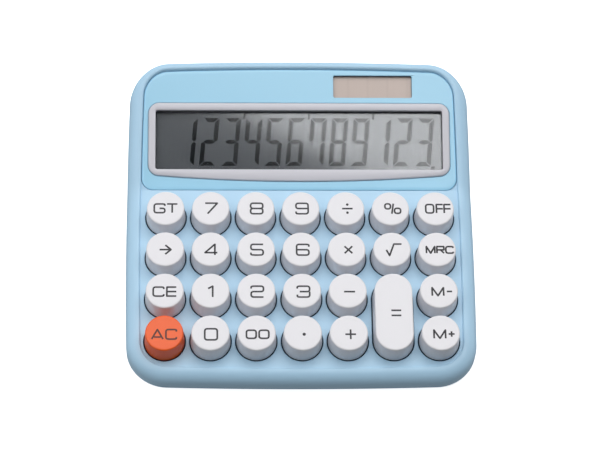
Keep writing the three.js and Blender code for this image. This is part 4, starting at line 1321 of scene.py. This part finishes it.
def legend(skin, signs, x, s, width):
    """Prints signs on a cap: each stroke of each sign is a ribbon just above the cap's top.

    The print sits a little lower on the caps nearer the user, and further right on those at the right.
    """
    layer = 0
    s = s - PRINT_SINK * (KEY_ROWS_REAR - s)
    x = x + PRINT_SPREAD * (x - KEY_COLUMNS_LEFT)
    for sign, offset_x, offset_y, wide, high in signs:
        radius = SHARP_ROUND if sign in SHARP_SIGNS else CORNER_ROUND
        radius = min(radius, 0.45 * min(wide, high)) if sign == "0" else radius
        for stroke in SIGNS[sign]:
            closed = stroke.endswith("*")
            places = stroke.rstrip("*").split()
            box = np.array([[COLUMNS[place[0]] - 0.5, ROWS[place[1]] - 0.5] for place in places])
            path = rounded_path(box * [wide, high] + [x + offset_x, s + offset_y], radius, closed)
            top = KEY_TOP + INK_RISE + layer * INK_LAYER
            ribbon(skin, DECK.at, path, width, KEY_TOP - INK_RISE, top, closed)
            layer += 1


def key_caps(scene):
    """Key caps: a hollow turned profile, drawn apart for the long key, with its legend printed on top.

    The wall tapers from the foot to the top edge, a quarter round, and the top is flat.
    """
    keys = scene.calculator_keys
    base, top, edge = keys.base_radius / MM, keys.top_radius / MM, keys.top_edge / MM
    inside, roof = base - keys.shell / MM, KEY_TOP - keys.shell / MM
    foot = DECK.box("key_5")[0][2]
    flange, flange_top = base + FLANGE, foot + FLANGE_HEIGHT
    skirt = [(0, foot), (POST_RADIUS, foot), (POST_RADIUS, roof)]
    skirt += [(inside - 0.5, roof), (inside, roof - 0.5), (inside, foot)]
    skirt += [(flange, foot), (flange, flange_top), (base, flange_top), (base - 0.05, DECK_N - 0.3)]
    profile = skirt[-1:]
    profile += [(top - inset, KEY_TOP - drop) for inset, drop in quarter_round(edge, 7)]
    profile += [(top - edge - FLAT, KEY_TOP), (0, KEY_TOP)]
    for node, x, s, stretch in key_places():
        name = node.removeprefix("key_")
        skin = Skin()
        # the skirt, flange and wall below the deck take finish 2, painted shade: a dark colour standing in
        # for the shade in the gap between cap and hole, though the cap is white plastic
        for part, number in ((skirt, 2), (profile, 0)):
            rows = [DECK.at(n)(stadium(x, s, radius, stretch, 72)) for radius, n in part]
            skin.grid(rows, finish=number)
        legend(skin, LEGENDS[name], x, s, keys.stroke / MM)
        clear = name == "ac"
        colours = ["clear_key", "clear_ink", "shade"] if clear else ["key", "ink", "shade"]
        slot = "orange_key" if clear else "white_key"
        skin.finish("cap_" + name, colours, slot, node, body=frame["nodes"][node]["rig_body"])


# ---- Underside -------------------------------------------------------------------------------------

SCREW_HEAD, SCREW_SHANK = 1.5, 1.25
DOOR_SCREW_HEAD, DOOR_SCREW_SHANK = 0.8, 1.0
THREAD_PITCH, THREAD_STEP = 0.9, 0.12
GRIP_RIBS, RIB_PITCH, RIB_WIDTH, RIB_RISE = 5, 1.6, 0.8, 0.3


def screw_nodes(start):
    """CAD nodes of the screws whose names start so."""
    return sorted(name for name in frame["nodes"] if name.startswith(start))


def foot_nodes():
    """CAD nodes of the four feet."""
    return sorted(name for name in frame["nodes"] if name.startswith("foot_"))


def screw(node, head_height, shank):
    """A screw: a head with a crossed recess, a round edge, and a shank with a thread.

    The head's face sinks by the recess where the nearer of the two cross axes is within half a slot. The
    thread is a sine of the turn plus the height.
    """
    low, high = world_box(node)
    x, y, _ = centre(low, high)
    head = (high[0] - low[0]) / 2
    skin, points = Skin(), 48
    angle = np.arange(points) * 2 * math.pi / points
    slot, depth = head * 0.16, head * 0.3

    def ring(radius, z):
        """A turn about the screw's axis, whose radius and height may vary along it."""
        flat = np.stack([x + radius * np.cos(angle), y + radius * np.sin(angle)], 1)
        return np.column_stack([flat, np.broadcast_to(z, angle.shape)])

    rows = []
    for radius in np.linspace(0, head - 0.3, 14):
        off_axis = radius * np.minimum(np.abs(np.cos(angle)), np.abs(np.sin(angle)))
        across = np.clip((slot - off_axis) / (slot * 0.35), 0, 1)
        along = np.clip((head * 0.62 - radius) / (head * 0.12), 0, 1)
        rows.append(ring(radius, low[2] + depth * across * along))
    rows += [ring(head - inset, low[2] + drop) for inset, drop in reversed(quarter_round(0.3, 4))]
    rows += [ring(head, low[2] + head_height), ring(shank, low[2] + head_height)]
    steps = int((high[2] - low[2] - head_height - shank) / THREAD_STEP)
    for z in np.linspace(low[2] + head_height + 0.2, high[2] - shank, steps):
        rows.append(ring(shank * (0.9 + 0.1 * np.sin(angle + 2 * math.pi * z / THREAD_PITCH)), z))
    rows.append(ring(0, high[2]))
    skin.grid(rows)
    skin.finish(node.replace("screw", "bolt"), ["steel"], "steel", node)


def battery_door():
    """Battery door: a plate with softened edges, a hole for its screw and a ribbed grip."""
    skin = Skin()
    low, high = world_box("battery_door")
    screw_low, screw_high = world_box("battery_door_screw")
    x, y, _ = centre(screw_low, screw_high)
    outline = rounded_rectangle(low[:2], high[:2], 1.0, straight_points=2)
    hole = circle(x, y, (screw_high[0] - screw_low[0]) / 2 + GAP)
    shank = circle(x, y, DOOR_SCREW_SHANK + GAP)
    seat = screw_low[2] + DOOR_SCREW_HEAD + GAP
    edge = 0.3
    rows = [(edge + FLAT, low[2])]
    rows += [(inset, low[2] + drop) for inset, drop in reversed(quarter_round(edge))]
    rows += [(0, high[2])]
    skin.rings(level, outline, rows)
    skin.flat(level(high[2]), outline, shank)
    skin.flat(level(low[2]), inwards(outline, edge + FLAT), hole)
    skin.grid([level(z)(loop) for loop, z in ((hole, low[2]), (hole, seat), (shank, seat), (shank, high[2]))])
    root, crest = low[2] + 0.05, low[2] - RIB_RISE
    for number in range(GRIP_RIBS):
        left = low[0] + 3 + RIB_PITCH * number
        rib = rounded_rectangle((left, y - 4.5), (left + RIB_WIDTH, y + 4.5), 0.39, straight_points=3)
        skin.rings(level, rib, [(0, root), (0, low[2] - 0.1), (0.1, low[2] - 0.25), (RIB_RISE, crest)])
        skin.flat(level(crest), inwards(rib, RIB_RISE))
        skin.flat(level(root), rib)
    skin.finish("battery_lid", ["plastic"], "sky_plastic", "battery_door")


def feet():
    """Rubber feet: a turned pad with a round lower edge and a shallow ring groove in its face."""
    for node in foot_nodes():
        low, high = world_box(node)
        x, y, _ = centre(low, high)
        radius = (high[0] - low[0]) / 2
        profile = [(0, low[2]), (radius * 0.55, low[2]), (radius * 0.58, low[2] + 0.12)]
        profile += [(radius * 0.68, low[2] + 0.12), (radius * 0.71, low[2])]
        profile += [(radius - inset, low[2] + drop) for inset, drop in reversed(quarter_round(0.45))]
        profile += [(radius, high[2]), (0, high[2])]
        skin = Skin()
        turned(skin, x, y, profile, 56)
        skin.finish(node.replace("foot", "pad"), ["rubber"], "rubber_foot", node)


# CAD nodes that keep their own shape inside the case, and their finishes
INNER_PARTS = {
    "key_mat": "silicone",
    "main_board": "board",
    "controller_chip": "epoxy",
    "lcd_holder": "inner_plastic",
    "lcd_ribbon": "flat_cable",
    "solar_lead_red": "red_lead",
    "cell_lead_red": "red_lead",
    "solar_lead_black": "black_lead",
    "cell_lead_black": "black_lead",
    "button_cell": "steel",
    "cell_contact_positive": "steel",
    "cell_contact_negative": "steel",
}


# ---- Stage -----------------------------------------------------------------------------------------

CAMERA_PLACE = (-0.03836, -0.50929, 0.90607)  # metres
CAMERA_TARGET = (-0.000205, -0.001625, 0.02)
CAMERA_SPIN = -1.1454  # degrees
CAMERA_LENS, SENSOR = 137.46, 36  # millimetres
LIGHT_HEIGHT = 1.25  # metres, as are the lights' places and sizes
SOFTBOX_PLACE, SOFTBOX_SIZE, SOFTBOX_SPIN = (0.252, 0.365), (1.3, 1.0), -26
FILL_PLACE, FILL_SIZE, FILL_SPIN = (-0.85, -0.1), (1.0, 1.3), 0
FLOOR_REACH = 3.0


def floor_material(brightness):
    """Plain pale floor with a trace of unevenness."""
    material, tree, shader = new_material("Pale floor")
    patches = noise(tree, 6, 3.0)
    mixed = blend_colours(tree, "MIX", patches, (*[brightness] * 3, 1), (*[brightness * 0.985] * 3, 1))
    tree.links.new(mixed, shader.inputs["Base Color"])
    shader.inputs["Roughness"].default_value = 0.9
    shader.inputs["Specular IOR Level"].default_value = 0.1
    shader.inputs["Emission Color"].default_value = (1, 1, 1, 1)
    shader.inputs["Emission Strength"].default_value = 0.8
    return material


def smooth_step(tree, value, low, high):
    """A value that goes smoothly from nought at low to one at high."""
    node = tree.nodes.new("ShaderNodeMapRange")
    node.interpolation_type = "SMOOTHSTEP"
    node.inputs["From Min"].default_value = low
    node.inputs["From Max"].default_value = high
    tree.links.new(value, node.inputs["Value"])
    return node.outputs["Result"]


def studio_sky(settings):
    """Surroundings: bright at the sides and the rear, dim in front, overhead and below.

    The brightness blends from the sides' to the front's along -y, then to the zenith's and to the one below
    along z.
    """
    world = bpy.data.worlds.new("Studio")
    world.use_nodes = True
    tree = world.node_tree
    place = tree.nodes.new("ShaderNodeTexCoord")
    split = tree.nodes.new("ShaderNodeSeparateXYZ")
    tree.links.new(place.outputs["Generated"], split.inputs[0])
    ahead = maths(tree, "MULTIPLY", split.outputs["Y"], -1.0)
    brightness = settings.sides
    for height, low, high, value in (
        (ahead, -0.1, 0.7, settings.front),
        (split.outputs["Z"], 0.3, 0.75, settings.zenith),
        (maths(tree, "MULTIPLY", split.outputs["Z"], -1.0), -0.05, 0.3, settings.below),
    ):
        way = smooth_step(tree, height, low, high)
        rest = maths(tree, "MULTIPLY", maths(tree, "SUBTRACT", 1.0, way), brightness)
        brightness = maths(tree, "MULTIPLY_ADD", way, value, rest)
    sky = tree.nodes["Background"]
    sky.inputs["Color"].default_value = (0.97, 0.985, 1.0, 1)
    tree.links.new(brightness, sky.inputs["Strength"])
    return world


def facing(place, target, spin):
    """Matrix of a camera or light at a place that faces its target, spun about that axis by some degrees."""
    back = unit(np.subtract(place, target)[None])[0]
    level_right = unit(np.cross((0, 1, 0), back)[None])[0]
    spin = math.radians(spin)
    right = math.cos(spin) * level_right + math.sin(spin) * np.cross(back, level_right)
    turn = np.eye(4)
    turn[:3] = np.stack([right, np.cross(back, right), back, place], 1)
    return Matrix(turn.tolist())


def area_light(name, place, size, watts, spin):
    """A rectangular soft light overhead that faces straight down, spun by some degrees."""
    light = bpy.data.lights.new(name, "AREA")
    light.shape = "RECTANGLE"
    light.size, light.size_y = size
    light.energy = watts
    lamp = bpy.data.objects.new(name, light)
    bpy.context.scene.collection.objects.link(lamp)
    lamp.matrix_world = facing((*place, LIGHT_HEIGHT), (*place, 0), spin)


def build_stage(scene):
    """Camera, lights, pale surroundings and the floor."""
    settings = scene.calculator_stage
    data = bpy.data.cameras.new("Camera")
    data.lens, data.sensor_width = CAMERA_LENS, SENSOR
    data.clip_start, data.clip_end = 0.01, 20
    camera = bpy.data.objects.new("Camera", data)
    scene.collection.objects.link(camera)
    camera.matrix_world = facing(CAMERA_PLACE, CAMERA_TARGET, CAMERA_SPIN)
    scene.camera = camera

    scene.world = studio_sky(settings)
    area_light("Softbox", SOFTBOX_PLACE, SOFTBOX_SIZE, settings.softbox, SOFTBOX_SPIN)
    area_light("Fill", FILL_PLACE, FILL_SIZE, settings.fill, FILL_SPIN)

    mesh = bpy.data.meshes.new("floor")
    corners = [(-1, -1, 0), (1, -1, 0), (1, 1, 0), (-1, 1, 0)]
    mesh.from_pydata((np.array(corners) * FLOOR_REACH).tolist(), [], [(0, 1, 2, 3)])
    mesh.materials.append(floor_material(settings.floor))
    floor = bpy.data.objects.new("floor", mesh)
    scene.collection.objects.link(floor)
    floor.visible_diffuse = False
    floor.visible_glossy = False
    scene.view_settings.view_transform = "Standard"


# ---- Operators -------------------------------------------------------------------------------------


class BuildUpperCase(bpy.types.Operator):
    """Build the upper case with its deck, rim and foot corners"""

    bl_idname = "calculator.upper_case"
    bl_label = "Upper Case"

    def execute(self, context):
        upper_case(context.scene)
        panel_foot_fillers(context.scene)
        return {"FINISHED"}


class BuildLowerCase(bpy.types.Operator):
    """Build the lower case"""

    bl_idname = "calculator.lower_case"
    bl_label = "Lower Case"

    def execute(self, context):
        lower_case(context.scene)
        return {"FINISHED"}


class BuildBatteryLid(bpy.types.Operator):
    """Build the lid of the battery bay"""

    bl_idname = "calculator.battery_lid"
    bl_label = "Battery Lid"

    def execute(self, context):
        battery_door()
        return {"FINISHED"}


class BuildFeet(bpy.types.Operator):
    """Build the four rubber feet"""

    bl_idname = "calculator.feet"
    bl_label = "Feet"

    def execute(self, context):
        feet()
        return {"FINISHED"}


class BuildScrews(bpy.types.Operator):
    """Build the case screws and the battery lid's screw"""

    bl_idname = "calculator.screws"
    bl_label = "Screws"

    def execute(self, context):
        for node in screw_nodes("case_screw"):
            screw(node, SCREW_HEAD, SCREW_SHANK)
        screw("battery_door_screw", DOOR_SCREW_HEAD, DOOR_SCREW_SHANK)
        return {"FINISHED"}


class BuildPanel(bpy.types.Operator):
    """Build the panel around the display"""

    bl_idname = "calculator.panel"
    bl_label = "Display Panel"

    def execute(self, context):
        display_panel(context.scene)
        return {"FINISHED"}


class BuildFrame(bpy.types.Operator):
    """Build the frame around the display"""

    bl_idname = "calculator.frame"
    bl_label = "Display Frame"

    def execute(self, context):
        display_frame()
        return {"FINISHED"}


class BuildWindow(bpy.types.Operator):
    """Build the clear window"""

    bl_idname = "calculator.window"
    bl_label = "Window"

    def execute(self, context):
        display_window()
        return {"FINISHED"}


class BuildDisplay(bpy.types.Operator):
    """Build the display glass and its reading"""

    bl_idname = "calculator.display"
    bl_label = "Display"

    def execute(self, context):
        display_glass()
        display_reading()
        return {"FINISHED"}


class BuildSolarCell(bpy.types.Operator):
    """Build the solar cell"""

    bl_idname = "calculator.solar_cell"
    bl_label = "Solar Cell"

    def execute(self, context):
        solar_cell()
        return {"FINISHED"}


class BuildKeys(bpy.types.Operator):
    """Build the key caps with their legends"""

    bl_idname = "calculator.keys"
    bl_label = "Keys"

    def execute(self, context):
        key_caps(context.scene)
        return {"FINISHED"}


class FinishInnerParts(bpy.types.Operator):
    """Give the parts inside the case their finishes"""

    bl_idname = "calculator.inner_parts"
    bl_label = "Inner Parts"

    def execute(self, context):
        for node, finish in INNER_PARTS.items():
            for place in frame["nodes"][node].material_slots:
                place.material = finish_material(finish)
        return {"FINISHED"}


class BuildStage(bpy.types.Operator):
    """Set up the camera, the lights and the floor"""

    bl_idname = "calculator.stage"
    bl_label = "Stage"

    def execute(self, context):
        build_stage(context.scene)
        return {"FINISHED"}


STEPS = (
    BuildStage,
    BuildUpperCase,
    BuildLowerCase,
    BuildBatteryLid,
    BuildFeet,
    BuildScrews,
    BuildPanel,
    BuildFrame,
    BuildWindow,
    BuildDisplay,
    BuildSolarCell,
    BuildKeys,
    FinishInnerParts,
)


class CalculatorPanel(bpy.types.Panel):
    """Settings of the calculator and the steps that build it"""

    bl_idname = "VIEW3D_PT_calculator"
    bl_label = "Desk Calculator"
    bl_space_type = "VIEW_3D"
    bl_region_type = "UI"
    bl_category = "Calculator"

    def draw(self, context):
        for name in SETTINGS:
            box = self.layout.box()
            group = getattr(context.scene, name)
            for key in group.bl_rna.properties.keys():
                if key not in ("rna_type", "name"):
                    box.prop(group, key)
        for step in STEPS:
            self.layout.operator(step.bl_idname)


SETTINGS = {
    "calculator_case": CalculatorCase,
    "calculator_keys": CalculatorKeys,
    "calculator_colours": CalculatorColours,
    "calculator_stage": CalculatorStage,
}
CLASSES = (*SETTINGS.values(), *STEPS, CalculatorPanel)


def register():
    """Registers the classes and hangs the settings on the scene."""
    for cls in CLASSES:
        bpy.utils.register_class(cls)
    for name, cls in SETTINGS.items():
        setattr(bpy.types.Scene, name, bpy.props.PointerProperty(type=cls))


def unregister():
    """Takes the settings and the classes away again."""
    for name in SETTINGS:
        delattr(bpy.types.Scene, name)
    for cls in reversed(CLASSES):
        bpy.utils.unregister_class(cls)


def main():
    """Builds the whole scene."""
    register()
    for step in STEPS:
        group, name = step.bl_idname.split(".")
        getattr(getattr(bpy.ops, group), name)()


if __name__ == "__main__":
    main()
